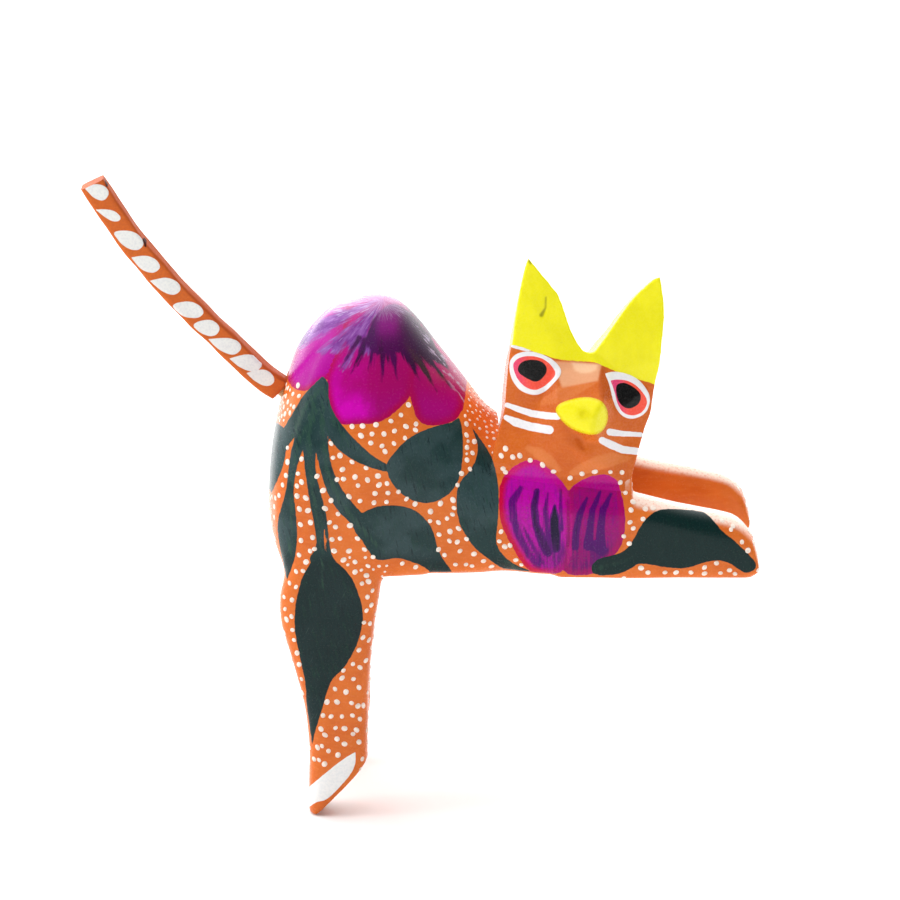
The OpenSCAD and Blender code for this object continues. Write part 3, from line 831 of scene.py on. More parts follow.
def paint_body(ob):
    P = coords(ob)
    N = normals(ob)
    S = sheet_both(P)
    leaf = np.full(len(P), -40.0)
    for pts in (LEAF_A, LEAF_B, LEAF_C, LEAF_D, LEAF_G, GREEN):
        leaf = np.maximum(leaf, sd_poly(S, pts))
    leaf = np.minimum(leaf, -sd_stroke(S, *SLIVER))
    vein = np.full(len(P), -40.0)
    for pts, w in VEINS:
        vein = np.maximum(vein, sd_stroke(S, pts, w))
    put(ob, "vein", vein * UNIT)
    # far side: keep the same drawing, mirrored; under, inner and end faces stay plain
    plain = np.maximum.reduce([sstep(-N[:, 2], 0.75, 0.95), sstep(N[:, 0], 0.8, 0.95) * (P[:, 0] > 50)])
    side_in = (np.abs(P[:, 1]) < 13.5) & ((P[:, 0] > CHEST_X + 0.01) | (P[:, 2] < -0.01)) & (N[:, 1] * np.sign(P[:, 1]) < -0.25)
    plain = np.where(side_in, 1.0, plain)
    petal = np.full(len(P), -40.0)
    edge = np.full(len(P), 0.0)
    which = np.zeros(len(P))
    for i, pts in enumerate(PETALS):
        d = sd_poly(S, pts)
        inside = d > -0.5
        edge = np.where(inside, d, edge)
        which = np.where(inside, i + 1, which)
        petal = np.maximum(petal, d)
    edge = np.where(petal > 0, edge, petal)
    # strokes that run down from the crown of the flower
    c = np.array([383.0, 300.0])
    dark = sd_poly(S, [(372, 318), (392, 300), (412, 312), (432, 338), (452, 372), (446, 368), (432, 360), (414, 352),
                       (398, 352), (382, 356), (370, 352), (366, 338)])
    for (tx, ty), w in SPIKES:
        a = np.array([tx, ty])
        b = c + (a - c) * 0.55
        dark = np.maximum(dark, sd_stroke(S, [tuple(b), tuple(a)], [w * 1.5, 0.2]))
    haze = np.full(len(P), -40.0)
    for a, b, w in HAZE:
        haze = np.maximum(haze, sd_stroke(S, [a, b], [0.5, w]))
    # the top of the hump is marked for a pale lilac-white mix: a painted highlight of the glare on the hump's top
    top = sstep(-S[:, 1], -318, -298)
    paint_heart(ob, S, 80.0 * np.maximum(plain, P[:, 1] > 0))
    put(ob, "near", sstep(-P[:, 1], 0.5, 4.0))
    foot = sd_poly(S, TOE)
    ok = 1 - plain
    far = 80.0 * plain
    put(ob, "leaf", (leaf - far) * UNIT)
    put(ob, "petal", (petal - far) * UNIT)
    put(ob, "petal_edge", edge * UNIT)
    put(ob, "petal_no", which)
    put(ob, "dark", dark * UNIT)
    put(ob, "haze", haze * UNIT)
    put(ob, "crown", top)
    # up-facing faces from x=40 on, the foreleg tops, are marked for a painted highlight
    put(ob, "wash", sstep(N[:, 2], 0.42, 0.78) * sstep(P[:, 0], 40.0, 46.0))
    put(ob, "foot", (foot - far) * UNIT)
    put(ob, "sx", S[:, 0] * UNIT)
    put(ob, "sy", S[:, 1] * UNIT)
    ang = np.arctan2(S[:, 1] - c[1], S[:, 0] - c[0])
    put(ob, "ray", ang)
    put(ob, "reach", np.hypot(S[:, 0] - c[0], S[:, 1] - c[1]) * UNIT)


def paint_head(ob):
    P = coords(ob)
    N = normals(ob)
    L = head_local(P)
    NL = N @ HEAD_R
    S = sheet(P)
    front_ = np.where((NL[:, 1] < 0.1) & (L[:, 1] < -4.5), 0.0, 80.0)
    put(ob, "yellow", sd_poly(S, BROW, 1) * UNIT)
    paint_heart(ob, S, front_)
    put(ob, "eye", (np.maximum(sd_poly(S, EYE_L[0]), sd_poly(S, EYE_R[0])) - front_) * UNIT)
    put(ob, "ring", (np.maximum(sd_poly(S, EYE_L[1]), sd_poly(S, EYE_R[1])) - front_) * UNIT)
    put(ob, "pupil", (np.maximum(sd_poly(S, EYE_L[2]), sd_poly(S, EYE_R[2])) - front_) * UNIT)
    put(ob, "nose", (sd_poly(S, NOSE) - front_) * UNIT)
    w = sd_stroke(S, *BROW_LINE)
    for pts, r in WHISKERS:
        w = np.maximum(w, sd_stroke(S, pts, r))
    put(ob, "whisker", (w - front_) * UNIT)
    put(ob, "leaf", (sd_poly(S, LEAF_C) - front_) * UNIT)
    put(ob, "vein", np.full(len(P), -8.0))
    pink = np.maximum(sstep(-(S[:, 0] - 522), -12, 14) * (S[:, 0] < 570), sstep(-(S[:, 0] - 626), -6, 12) * (S[:, 0] > 590))
    put(ob, "pink", pink)
    # the forehead facet painted paler, brightest near its top: a painted highlight of the light from above
    pale = sd_poly(S, [(552, 361), (552, 361), (602, 364), (602, 364), (598, 381), (598, 381), (562, 388), (562, 388)], 1)
    forehead_glint = sd_poly(S, [(570, 361), (570, 361), (599, 364), (599, 364), (595, 373), (576, 374)], 1)
    # lighter chin facets and a lighter plane beside the left eye above the nose: painted highlights on the carved
    # facets
    chin = np.maximum(sd_poly(S, [(520, 444), (548, 450), (566, 476), (540, 462)], 1),
                      sd_poly(S, [(604, 452), (632, 456), (628, 462), (572, 478), (568, 470)], 1))
    face = sstep(-head_local(P)[:, 1], 3.0, 5.0)
    put(ob, "pale", face * (0.55 * sstep(pale, -1.0, 1.5) + 0.45 * sstep(forehead_glint, -1.5, 2.5)))
    side = sd_poly(S, [(560, 386), (560, 386), (598, 382), (598, 382), (574, 397), (556, 404), (534, 406)], 1)
    put(ob, "worn", face * np.maximum(sstep(chin, -0.9, 0.9), 0.8 * sstep(side, -0.9, 0.9)))
    # a darker strip on the side facet of the nose bridge beside the right eye: painted shade
    put(ob, "deepen", face * sstep(sd_poly(S, [(601, 364), (608, 372), (614, 398), (606, 400), (598, 396)], 1), -2.0, 1.5))
    nick = np.maximum(sd_stroke(S, [(546, 297), (545.5, 308), (541.5, 315)], [0.5, 0.8, 2.0]),
                      sd_stroke(S, [(529.5, 261), (531, 264)], [1.6, 0.6]))
    put(ob, "nick", (nick - front_) * UNIT)
    put(ob, "dimple", np.hypot(S[:, 0] - 583.5, S[:, 1] - 414) * UNIT)
    put(ob, "sx", S[:, 0] * UNIT)
    put(ob, "sy", S[:, 1] * UNIT)


def paint_tail(ob):
    P = coords(ob)
    N = normals(ob)
    S = sheet_both(P)
    m = np.full(len(P), -40.0)
    for pts in TAIL_MARKS:
        m = np.maximum(m, sd_poly(S, pts))
    sidef = np.where(np.abs(N[:, 1]) > 0.35, 0.0, 80.0)
    put(ob, "mark", (m - sidef) * UNIT)
    put(ob, "topside", sstep(N[:, 2], 0.2, 0.5))
    k = np.maximum(sd_stroke(S, [(106, 177), (107, 186)], [2.0, 1.2]), sd_stroke(S, [(144.5, 240), (145.5, 246)], [2.2, 1.2]))
    put(ob, "smudge", (k - 80.0 * (P[:, 1] > 0)) * UNIT)


for ob in [body] + list(legs.values()):
    paint_body(ob)
paint_head(head)
paint_tail(tail)

# ---------------------------------------------------------------------------
# Materials
# ---------------------------------------------------------------------------


def lin(r, g, b):
    out = []
    for v in (r, g, b):
        v = v / 255.0
        out.append(v / 12.92 if v <= 0.04045 else ((v + 0.055) / 1.055) ** 2.4)
    return (*out, 1.0)


class Paint:
    """A small helper round one material's node tree."""

    def __init__(self, name):
        self.mat = bpy.data.materials.new(name)
        self.mat.use_nodes = True
        self.t = self.mat.node_tree
        self.n = self.t.nodes
        self.n.clear()
        self.out = self.n.new("ShaderNodeOutputMaterial")
        self.bsdf = self.n.new("ShaderNodeBsdfPrincipled")
        self.link(self.bsdf.outputs[0], self.out.inputs[0])
        self.coord = self.n.new("ShaderNodeTexCoord").outputs["Object"]

    def link(self, a, b):
        self.t.links.new(a, b)

    def put(self, sock, v):
        if isinstance(v, bpy.types.NodeSocket):
            self.link(v, sock)
        else:
            sock.default_value = v

    def attr(self, name):
        a = self.n.new("ShaderNodeAttribute")
        a.attribute_name = name
        return a.outputs["Fac"]

    def math(self, op, a, b=0.0, c=None, clamp=False):
        m = self.n.new("ShaderNodeMath")
        m.operation = op
        m.use_clamp = clamp
        self.put(m.inputs[0], a)
        self.put(m.inputs[1], b)
        if c is not None:
            self.put(m.inputs[2], c)
        return m.outputs[0]

    def step(self, v, a, b, lo=0.0, hi=1.0):
        m = self.n.new("ShaderNodeMapRange")
        m.interpolation_type = "SMOOTHSTEP"
        self.put(m.inputs["Value"], v)
        for k, x in (("From Min", a), ("From Max", b), ("To Min", lo), ("To Max", hi)):
            m.inputs[k].default_value = x
        return m.outputs["Result"]

    def stretch(self, sx, sy, sz, src=None, turn=(0, 0, 0)):
        m = self.n.new("ShaderNodeMapping")
        self.link(src or self.coord, m.inputs[0])
        m.inputs["Rotation"].default_value = turn
        m.inputs["Scale"].default_value = (sx, sy, sz)
        return m.outputs[0]

    def combine(self, x, y, z=0.0):
        m = self.n.new("ShaderNodeCombineXYZ")
        for i, v in enumerate((x, y, z)):
            self.put(m.inputs[i], v)
        return m.outputs[0]

    def noise(self, vec, scale=1.0, detail=2.0, rough=0.5):
        m = self.n.new("ShaderNodeTexNoise")
        self.link(vec, m.inputs["Vector"])
        m.inputs["Scale"].default_value = scale
        m.inputs["Detail"].default_value = detail
        m.inputs["Roughness"].default_value = rough
        return m.outputs["Fac"]

    def mix(self, f, a, b):
        m = self.n.new("ShaderNodeMix")
        m.data_type = "RGBA"
        self.put(m.inputs[0], f)
        self.put(m.inputs[6], a)
        self.put(m.inputs[7], b)
        return m.outputs[2]

    def finish(self, color, rough, height=None, strength=0.4, coat=0.0, dist=0.0003, ior=1.27):
        b = self.bsdf.inputs
        self.put(b["Base Color"], color)
        self.put(b["Roughness"], rough)
        b["Coat Weight"].default_value = coat
        b["Coat Roughness"].default_value = 0.16
        b["IOR"].default_value = ior
        if height is not None:
            m = self.n.new("ShaderNodeBump")
            m.inputs["Strength"].default_value = strength
            m.inputs["Distance"].default_value = dist
            self.link(height, m.inputs["Height"])
            self.link(m.outputs[0], b["Normal"])
        return self.mat


K = 1000.0  # object coordinates are metres; scales below are per mm


def orange_ground(p, up=0):
    """The orange ground coat: brushed and a little uneven."""
    broad = p.noise(p.stretch(K, K, K), 0.09, 3)
    streak = p.noise(p.stretch(0.25 * K, 1.2 * K, 1.2 * K), 1.3, 3, 0.6)
    grain = p.noise(p.stretch(K, K, K), 2.6, 2)
    c = p.mix(p.step(broad, 0.3, 0.7), lin(219 + up, 112 + up, 44 + up), lin(206 + up, 99 + up, 36 + up))
    c = p.mix(p.step(streak, 0.35, 0.75, 0.0, 0.4), c, lin(223 + up, 124 + up, 54 + up))
    c = p.mix(p.step(grain, 0.6, 0.85, 0.0, 0.2), c, lin(196 + up, 88 + up, 32 + up))
    return c, streak


def leaf_green(p, sx, sy):
    """Dark leaves and stems: one thick green dragged over another."""
    lf = p.noise(p.stretch(K, K, K), 0.13, 2)
    ls = p.noise(p.combine(p.math("MULTIPLY", p.math("MULTIPLY_ADD", sy, -0.25, sx), 1.5), p.math("MULTIPLY", sy, 0.22), 0.0),
                 1.0, 4, 0.65)
    g = p.mix(p.step(lf, 0.38, 0.62), lin(28, 53, 53), lin(48, 69, 71))
    low_ = p.math("MAXIMUM", p.step(sy, 120.5, 124.5), p.step(sx, 126.0, 131.0))
    g = p.mix(p.math("MULTIPLY", low_, 0.85), g, lin(6, 32, 32))
    g = p.mix(p.step(ls, 0.52, 0.72, 0.0, 0.5), g, lin(24, 60, 44))
    g = p.mix(p.step(ls, 0.32, 0.44, 0.75, 0.0), g, lin(8, 28, 30))
    vn = p.math("ADD", p.attr("vein"), p.math("MULTIPLY_ADD", ls, 3.4, -1.9))
    g = p.mix(p.step(vn, -0.35, 0.55, 0.0, 0.5), g, lin(50, 80, 64))
    scratch = p.noise(p.combine(p.math("MULTIPLY", p.math("MULTIPLY_ADD", sy, 0.5, sx), 3.2), p.math("MULTIPLY", sy, 0.3), 5.0), 1.0, 2)
    g = p.mix(p.step(scratch, 0.64, 0.76, 0.0, 0.32), g, lin(76, 98, 90))
    g = p.mix(p.step(sx, 126.0, 136.0, 0.0, 0.65), g, lin(2, 34, 32))
    return g, ls


def chest_flower(p, wob, fine, sx, sy):
    he = p.math("ADD", p.attr("heart_edge"), wob)
    col_l = p.mix(p.step(fine, 0.35, 0.7), lin(182, 0, 160), lin(160, 0, 130))
    col_r = p.mix(p.step(fine, 0.35, 0.7), lin(156, 0, 112), lin(134, 0, 98))
    col = p.mix(p.attr("heart_right"), col_l, col_r)
    streaks = p.noise(p.combine(p.math("MULTIPLY", sx, 1.7), p.math("MULTIPLY", sy, 0.16), 0.0), 1.0, 3, 0.6)
    col = p.mix(p.step(streaks, 0.5, 0.72, 0.0, 0.5), col, lin(108, 0, 140))
    col = p.mix(p.step(streaks, 0.30, 0.40, 0.35, 0.0), col, lin(160, 0, 84))
    inkv = p.attr("ink")
    inkn = p.math("ADD", inkv, p.math("MULTIPLY_ADD", streaks, 0.7, -0.35))
    col = p.mix(p.math("MULTIPLY", p.step(inkn, 0.10, 0.62), 0.92), col, lin(72, 0, 100))
    col = p.mix(p.step(inkn, 0.80, 1.2), col, lin(22, 6, 46))
    low = p.math("MULTIPLY", p.step(sy, 116.5, 122.5), p.step(sx, 116.0, 122.0))
    low = p.math("MULTIPLY", low, p.step(streaks, 0.40, 0.58, 0.25, 0.75))
    col = p.mix(low, col, lin(72, 4, 92))
    rim2 = p.math("MULTIPLY", p.step(he, 0.5, 2.0, 1.0, 0.0), p.step(sx, 117.5, 123.5, 1.0, 0.35))
    heart = p.mix(rim2, col, lin(186, 0, 56))
    m_heart = p.step(p.math("ADD", p.attr("heart"), wob), -0.06, 0.06)
    return heart, m_heart


def body_paint():
    p = Paint("painted_body")
    ground, streak = orange_ground(p)
    wob = p.math("MULTIPLY_ADD", p.noise(p.stretch(K, K, K), 0.9, 2), 0.5, -0.25)
    sx, sy = p.attr("sx"), p.attr("sy")
    fine = p.noise(p.stretch(K, K, K), 1.9, 3)

    # hump flower
    edge = p.math("ADD", p.attr("petal_edge"), wob)
    rays = p.combine(p.math("MULTIPLY", p.attr("ray"), 9.0), p.math("MULTIPLY", p.attr("reach"), 0.22), 0.0)
    ray_n = p.noise(rays, 1.0, 3, 0.6)
    ray_f = p.noise(p.combine(p.math("MULTIPLY", p.attr("ray"), 34.0), p.math("MULTIPLY", p.attr("reach"), 0.35), 3.0), 1.0, 2)
    magenta = p.mix(p.step(ray_n, 0.34, 0.66), lin(200, 0, 172), lin(182, 0, 150))
    later = p.step(p.attr("petal_no"), 1.4, 1.6)
    first = p.math("SUBTRACT", 1.0, later)
    magenta = p.mix(p.math("MULTIPLY", first, 0.7), magenta, lin(158, 0, 134))
    rose = p.math("MULTIPLY", later, p.step(p.math("MULTIPLY_ADD", ray_n, 5.0, sx), 80.5, 86.5))
    magenta = p.mix(p.math("MULTIPLY", rose, 0.9), magenta, lin(152, 0, 98))
    rightp = p.math("MULTIPLY", later, p.step(p.attr("petal_no"), 2.4, 2.6, 1.0, 0.0))
    core = p.math("MULTIPLY", rightp, p.step(p.attr("petal_edge"), 0.9, 3.2))
    magenta = p.mix(p.math("MULTIPLY", core, 0.6), magenta, lin(162, 0, 118))
    rim = p.step(p.math("ADD", edge, p.math("MULTIPLY_ADD", ray_n, 1.6, -0.8)), 0.1, 2.0, 1.0, 0.0)
    pet = p.mix(p.math("MULTIPLY", rim, 0.85), magenta, lin(166, 0, 62))
    # wine red just under the spikes of the middle petal
    band = p.math("MULTIPLY", p.step(sy, 84.0, 89.5, 1.0, 0.0), p.step(sx, 72.0, 76.5))
    pet = p.mix(p.math("MULTIPLY", band, 0.7), pet, lin(156, 0, 88))
    hazed = p.step(p.math("ADD", p.attr("haze"), p.math("MULTIPLY_ADD", ray_f, 2.6, -1.3)), -0.5, 0.7)
    lilac = p.mix(p.step(ray_n, 0.36, 0.62), lin(96, 38, 128), lin(132, 80, 160))
    lilac = p.mix(p.step(ray_f, 0.58, 0.68, 0.0, 0.5), lilac, lin(172, 128, 196))
    pet = p.mix(p.math("MULTIPLY", hazed, 0.9), pet, lilac)
    darkm = p.step(p.math("ADD", p.attr("dark"), p.math("MULTIPLY_ADD", ray_f, 1.0, -0.5)), -0.25, 0.3)
    deep = p.mix(p.step(sx, 85.5, 93.0), lin(66, 0, 72), lin(28, 12, 50))
    deep = p.mix(p.step(ray_n, 0.52, 0.64, 0.0, 0.6), deep, lin(26, 8, 42))
    glow = p.math("MULTIPLY", p.step(sy, 66.5, 70.0), p.step(sy, 71.5, 76.0, 1.0, 0.0))
    glow = p.math("MULTIPLY", glow, p.math("MULTIPLY", p.step(sx, 81.5, 84.5), p.step(sx, 86.0, 89.5, 1.0, 0.0)))
    deep = p.mix(p.math("MULTIPLY", glow, 0.75), deep, lin(132, 0, 122))
    pet = p.mix(p.math("MULTIPLY", darkm, 0.95), pet, deep)
    # painted highlight: pale glint streaks along the top and right slope of the dark flower centre, on the near side
    # only
    edge_right = p.step(p.math("MULTIPLY_ADD", sy, -0.62, sx), 46.0, 47.5)
    edge_glints = p.math("MULTIPLY", p.step(ray_f, 0.54, 0.64), p.math("MAXIMUM", p.step(sy, 71.5, 67.5), edge_right))
    edge_glints = p.math("MULTIPLY", edge_glints, p.attr("near"))
    pet = p.mix(p.math("MULTIPLY", edge_glints, 0.7), pet, lin(178, 160, 196))
    # painted highlight: the top of the hump mixed towards pale lilac-white
    crown = p.math("MULTIPLY", p.attr("crown"), p.step(ray_f, 0.35, 0.6, 0.25, 0.6))
    pet = p.mix(crown, pet, lin(214, 178, 222))
    m_pet = p.step(p.math("ADD", p.attr("petal"), wob), -0.06, 0.06)

    heart, m_heart = chest_flower(p, wob, fine, sx, sy)

    g, ls = leaf_green(p, sx, sy)
    m_leaf = p.step(p.math("ADD", p.attr("leaf"), p.math("MULTIPLY", wob, 0.6)), -0.05, 0.05)

    white = p.mix(p.step(fine, 0.4, 0.7), lin(240, 240, 238), lin(230, 232, 232))
    m_foot = p.step(p.math("ADD", p.attr("foot"), p.math("MULTIPLY", wob, 0.4)), -0.05, 0.05)

    # painted highlight: up-facing foreleg tops mixed towards pale pink-white, broken up by noise
    wash = p.math("MULTIPLY", p.attr("wash"), p.step(fine, 0.30, 0.50, 0.55, 0.95))
    ground = p.mix(wash, ground, lin(244, 220, 206))
    c = p.mix(m_pet, ground, pet)
    c = p.mix(m_heart, c, heart)
    c = p.mix(m_leaf, c, g)
    c = p.mix(m_foot, c, white)
    h = p.math("MULTIPLY", m_pet, 0.25)
    h = p.math("MAXIMUM", h, p.math("MULTIPLY", m_heart, 0.25))
    h = p.math("MAXIMUM", h, p.math("MULTIPLY", m_leaf, 0.35))
    h = p.math("MAXIMUM", h, p.math("MULTIPLY", m_foot, 0.35))
    h = p.math("ADD", h, p.math("MULTIPLY", streak, 0.22))
    h = p.math("ADD", h, p.math("MULTIPLY", p.math("MULTIPLY", ls, m_leaf), 0.35))
    rough = p.step(fine, 0.3, 0.75, 0.2, 0.3)
    return p.finish(c, rough, h)


def head_paint():
    p = Paint("painted_head")
    ground, streak = orange_ground(p, -9)
    wob = p.math("MULTIPLY_ADD", p.noise(p.stretch(K, K, K), 0.9, 2), 0.4, -0.2)
    fine = p.noise(p.stretch(K, K, K), 1.9, 3)
    broad = p.noise(p.stretch(0.5 * K, K, 0.3 * K), 0.35, 3, 0.6)
    yel = p.mix(p.step(broad, 0.35, 0.7), lin(242, 234, 36), lin(232, 224, 28))
    yel = p.mix(p.step(fine, 0.58, 0.8, 0.0, 0.4), yel, lin(214, 203, 22))
    yel = p.mix(p.step(p.attr("nick"), -0.25, 0.25, 0.0, 0.75), yel, lin(128, 122, 20))
    # painted highlight on the forehead facet
    ground = p.mix(p.math("MULTIPLY", p.attr("pale"), 0.85), ground, lin(246, 204, 164))
    # painted highlights on the chin and muzzle facets
    ground = p.mix(p.math("MULTIPLY", p.attr("worn"), 0.42), ground, lin(228, 140, 80))
    # painted shade on the nose bridge's side facet
    ground = p.mix(p.math("MULTIPLY", p.attr("deepen"), 0.55), ground, lin(170, 72, 30))
    m_y = p.step(p.math("ADD", p.attr("yellow"), wob), -0.05, 0.05)
    c = p.mix(m_y, ground, yel)
    white = p.mix(p.step(fine, 0.4, 0.7), lin(238, 236, 238), lin(230, 228, 232))
    m_w = p.step(p.math("ADD", p.attr("whisker"), p.math("MULTIPLY", wob, 0.5)), -0.05, 0.05)
    c = p.mix(m_w, c, white)
    m_e = p.step(p.math("ADD", p.attr("eye"), p.math("MULTIPLY", wob, 0.3)), -0.05, 0.05)
    c = p.mix(m_e, c, white)
    coral = p.mix(p.attr("pink"), lin(242, 84, 66), lin(226, 70, 122))
    coral = p.mix(p.step(fine, 0.55, 0.75, 0.0, 0.4), coral, lin(250, 120, 100))
    m_r = p.step(p.math("ADD", p.attr("ring"), p.math("MULTIPLY", wob, 0.3)), -0.05, 0.05)
    c = p.mix(m_r, c, coral)
    black = p.mix(p.step(fine, 0.5, 0.75), lin(14, 14, 14), lin(34, 34, 34))
    m_p = p.step(p.math("ADD", p.attr("pupil"), p.math("MULTIPLY", wob, 0.3)), -0.05, 0.05)
    c = p.mix(m_p, c, black)
    heart, m_h = chest_flower(p, wob, fine, p.attr("sx"), p.attr("sy"))
    heart = p.mix(0.35, heart, lin(204, 0, 156))
    c = p.mix(m_h, c, heart)
    g, _ = leaf_green(p, p.attr("sx"), p.attr("sy"))
    c = p.mix(p.step(p.math("ADD", p.attr("leaf"), p.math("MULTIPLY", wob, 0.6)), -0.05, 0.05), c, g)
    # the nose's yellow darkens towards the dimple: painted shade in the hollow
    nose = p.mix(p.step(p.attr("dimple"), 0.2, 2.4, 1.0, 0.0), lin(234, 225, 32), lin(216, 205, 8))
    nose = p.mix(p.step(p.attr("nose"), 0.0, 0.8, 0.7, 0.0), nose, lin(214, 186, 20))
    m_n = p.step(p.math("ADD", p.attr("nose"), p.math("MULTIPLY", wob, 0.4)), -0.06, 0.06)
    c = p.mix(m_n, c, nose)
    h = p.math("MULTIPLY", p.math("MAXIMUM", m_e, m_w), 0.5)
    h = p.math("ADD", h, p.math("MULTIPLY", m_r, 0.25))
    h = p.math("ADD", h, p.math("MULTIPLY", m_p, 0.25))
    h = p.math("ADD", h, p.math("MULTIPLY", m_y, 0.3))
    h = p.math("ADD", h, p.math("MULTIPLY", m_n, 0.4))
    h = p.math("ADD", h, p.math("MULTIPLY", streak, 0.2))
    h = p.math("ADD", h, p.math("MULTIPLY", broad, 0.4))
    return p.finish(c, p.step(fine, 0.3, 0.75, 0.24, 0.32), h)


def tail_paint():
    p = Paint("painted_tail")
    ground, streak = orange_ground(p)
    wob = p.math("MULTIPLY_ADD", p.noise(p.stretch(K, K, K), 0.9, 2), 0.4, -0.2)
    fine = p.noise(p.stretch(K, K, K), 1.9, 3)
    ground = p.mix(p.step(fine, 0.3, 0.7, 0.3, 0.6), ground, lin(182, 88, 54))
    ground = p.mix(p.math("MULTIPLY", p.attr("topside"), 0.6), ground, lin(150, 62, 34))
    white = p.mix(p.step(fine, 0.4, 0.7), lin(232, 232, 228), lin(222, 223, 222))
    m = p.step(p.math("ADD", p.attr("mark"), p.math("MULTIPLY", wob, 0.3)), -0.05, 0.05)
    c = p.mix(m, ground, white)
    c = p.mix(p.step(p.math("ADD", p.attr("smudge"), wob), -0.1, 0.15, 0.0, 0.9), c, lin(36, 26, 30))
    h = p.math("ADD", p.math("MULTIPLY", m, 0.7), p.math("MULTIPLY", streak, 0.25))
    return p.finish(c, p.step(fine, 0.3, 0.75, 0.36, 0.52), h, ior=1.08)


def dot_paint():
    p = Paint("dot_white")
    fine = p.noise(p.stretch(K, K, K), 0.8, 2)
    c = p.mix(p.step(fine, 0.4, 0.65), lin(244, 230, 218), lin(230, 212, 198))
    return p.finish(c, p.step(fine, 0.3, 0.7, 0.26, 0.4), None)


def wood():
    p = Paint("bare_wood")
    g = p.noise(p.stretch(0.3 * K, 2.2 * K, 2.2 * K, turn=(0, 0.733, 0)), 1.6, 4, 0.6)
    c = p.mix(p.step(g, 0.35, 0.7), lin(222, 190, 142), lin(184, 144, 94))
    c = p.mix(p.step(g, 0.66, 0.74, 0.0, 0.5), c, lin(142, 104, 64))
    return p.finish(c, p.step(g, 0.3, 0.7, 0.55, 0.75), g, 0.3, 0.0)


M_BODY, M_HEAD, M_TAIL, M_DOT, M_WOOD = body_paint(), head_paint(), tail_paint(), dot_paint(), wood()


def dress(ob, mat):
    ob.data.materials.clear()
    ob.data.materials.append(mat)


for ob in [body] + list(legs.values()):
    dress(ob, M_BODY)
dress(head, M_HEAD)
dress(tail, M_TAIL)
for n in ("tail_peg", "neck_dowel", "shoulder_dowels", "hip_dowels"):
    dress(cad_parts[n], M_WOOD)

# ---------------------------------------------------------------------------
# Dots: each one a small dome of thick paint laid on the surface
# ---------------------------------------------------------------------------


def dome(tree, c, n, r, rng, high=0.16):
    """One dot: rim sunk in the surface, crown proud of it."""
    n = Vector(n).normalized()
    u = n.orthogonal().normalized()
    w = n.cross(u)
    turn = rng.uniform(0, 6.28)
    sq = rng.uniform(0.88, 1.12)
    V = []
    for rr, hh in ((1.0, -0.05), (0.93, 0.45 * high), (0.7, 0.85 * high), (0.36, high)):
        for k in range(12):
            a = 2 * math.pi * k / 12
            q = r * rr * (1 + 0.06 * math.sin(2 * a + turn))
            p = Vector(c) + u * (math.cos(a) * q * sq) + w * (math.sin(a) * q / sq)
            hit = tree.find_nearest(p, 3.0)
            if hit[0] is None or hit[1].dot(n) < 0.1:
                return None
            V.append(hit[0] + n * hh)
    hit = tree.find_nearest(Vector(c), 3.0)
    V.append(hit[0] + n * high * 1.02)
    F = []
    for j in range(3):
        for k in range(12):
            k2 = (k + 1) % 12
            F.append([j * 12 + k, j * 12 + k2, (j + 1) * 12 + k2, (j + 1) * 12 + k])
    for k in range(12):
        F.append([36 + k, 36 + (k + 1) % 12, 48])
    return V, F


def read(ob, name):
    a = ob.data.attributes[name]
    v = np.zeros(len(a.data), np.float32)
    a.data.foreach_get("value", v)
    return v.astype(float)


rng = np.random.default_rng(46)
set_points = []      # every dot's centre so far, for spacing across the pieces
GRID = {}


def cell(p):
    return tuple(int(v) for v in np.floor(np.asarray(p) / 3.0))


def crowded(p, gap):
    c = cell(p)
    for i in (-1, 0, 1):
        for j in (-1, 0, 1):
            for k in (-1, 0, 1):
                for q in GRID.get((c[0] + i, c[1] + j, c[2] + k), ()):
                    if (q[0] - p[0]) ** 2 + (q[1] - p[1]) ** 2 + (q[2] - p[2]) ** 2 < gap * gap:
                        return True
    return False


def note(p):
    GRID.setdefault(cell(p), []).append(tuple(p))


painted = [body] + list(legs.values()) + [head]
trees = {ob.name: whole_tree for ob in painted}
trees[head.name] = tree_of(head)
real = {ob.name: tree_of(ob) for ob in painted}
dots = {ob.name: ([], []) for ob in painted}


def add_dot(ob, c, n, r, high=0.16):
    """Leave out a dot whose spot was sawn or bored away."""
    spot = real[ob.name].find_nearest(Vector(c), 1.0)
    if spot[0] is None or spot[3] > 0.15:
        return False
    d = dome(trees[ob.name], c, n, r, rng, high)
    if d is None:
        return False
    V, F = dots[ob.name]
    o = len(V)
    V += [tuple(v) for v in d[0]]
    F += [[i + o for i in f] for f in d[1]]
    note(c)
    return True


def owner(p):
    """Which block of the carving a point on the whole surface belongs to."""
    tag = "right" if p[1] < 0 else "left"
    if p[0] > CHEST_X:
        return legs["fore", tag]
    if p[2] < 2 and p[0] < 0.4 and abs(p[1]) > 10.5 or p[2] < 0:
        return legs["hind", tag]
    return body


# the listed ones, thrown onto the near side and mirrored onto the far side
for px, py in DOTS:
    o, v = ray(px, py)
    best = None
    for ob in painted:
        hit = trees[ob.name].ray_cast(Vector(o), Vector(v))
        if hit[0] is not None and (best is None or hit[3] < best[3] - 1e-6):
            best = (ob if ob is head else owner(hit[0]), hit[0], hit[1], hit[3])
    if best is None:
        continue
    ob, loc, nor, _ = best
    r = rng.uniform(0.50, 0.68)
    if crowded(loc, 0.8):
        continue
    add_dot(ob, loc, nor, r)
    if ob is head:
        continue
    q = Vector((loc.x, -loc.y, loc.z))
    far_ob = owner(q)
    hit = trees[far_ob.name].find_nearest(q, 2.5)
    if hit[0] is not None:
        add_dot(far_ob, hit[0], hit[1], r)

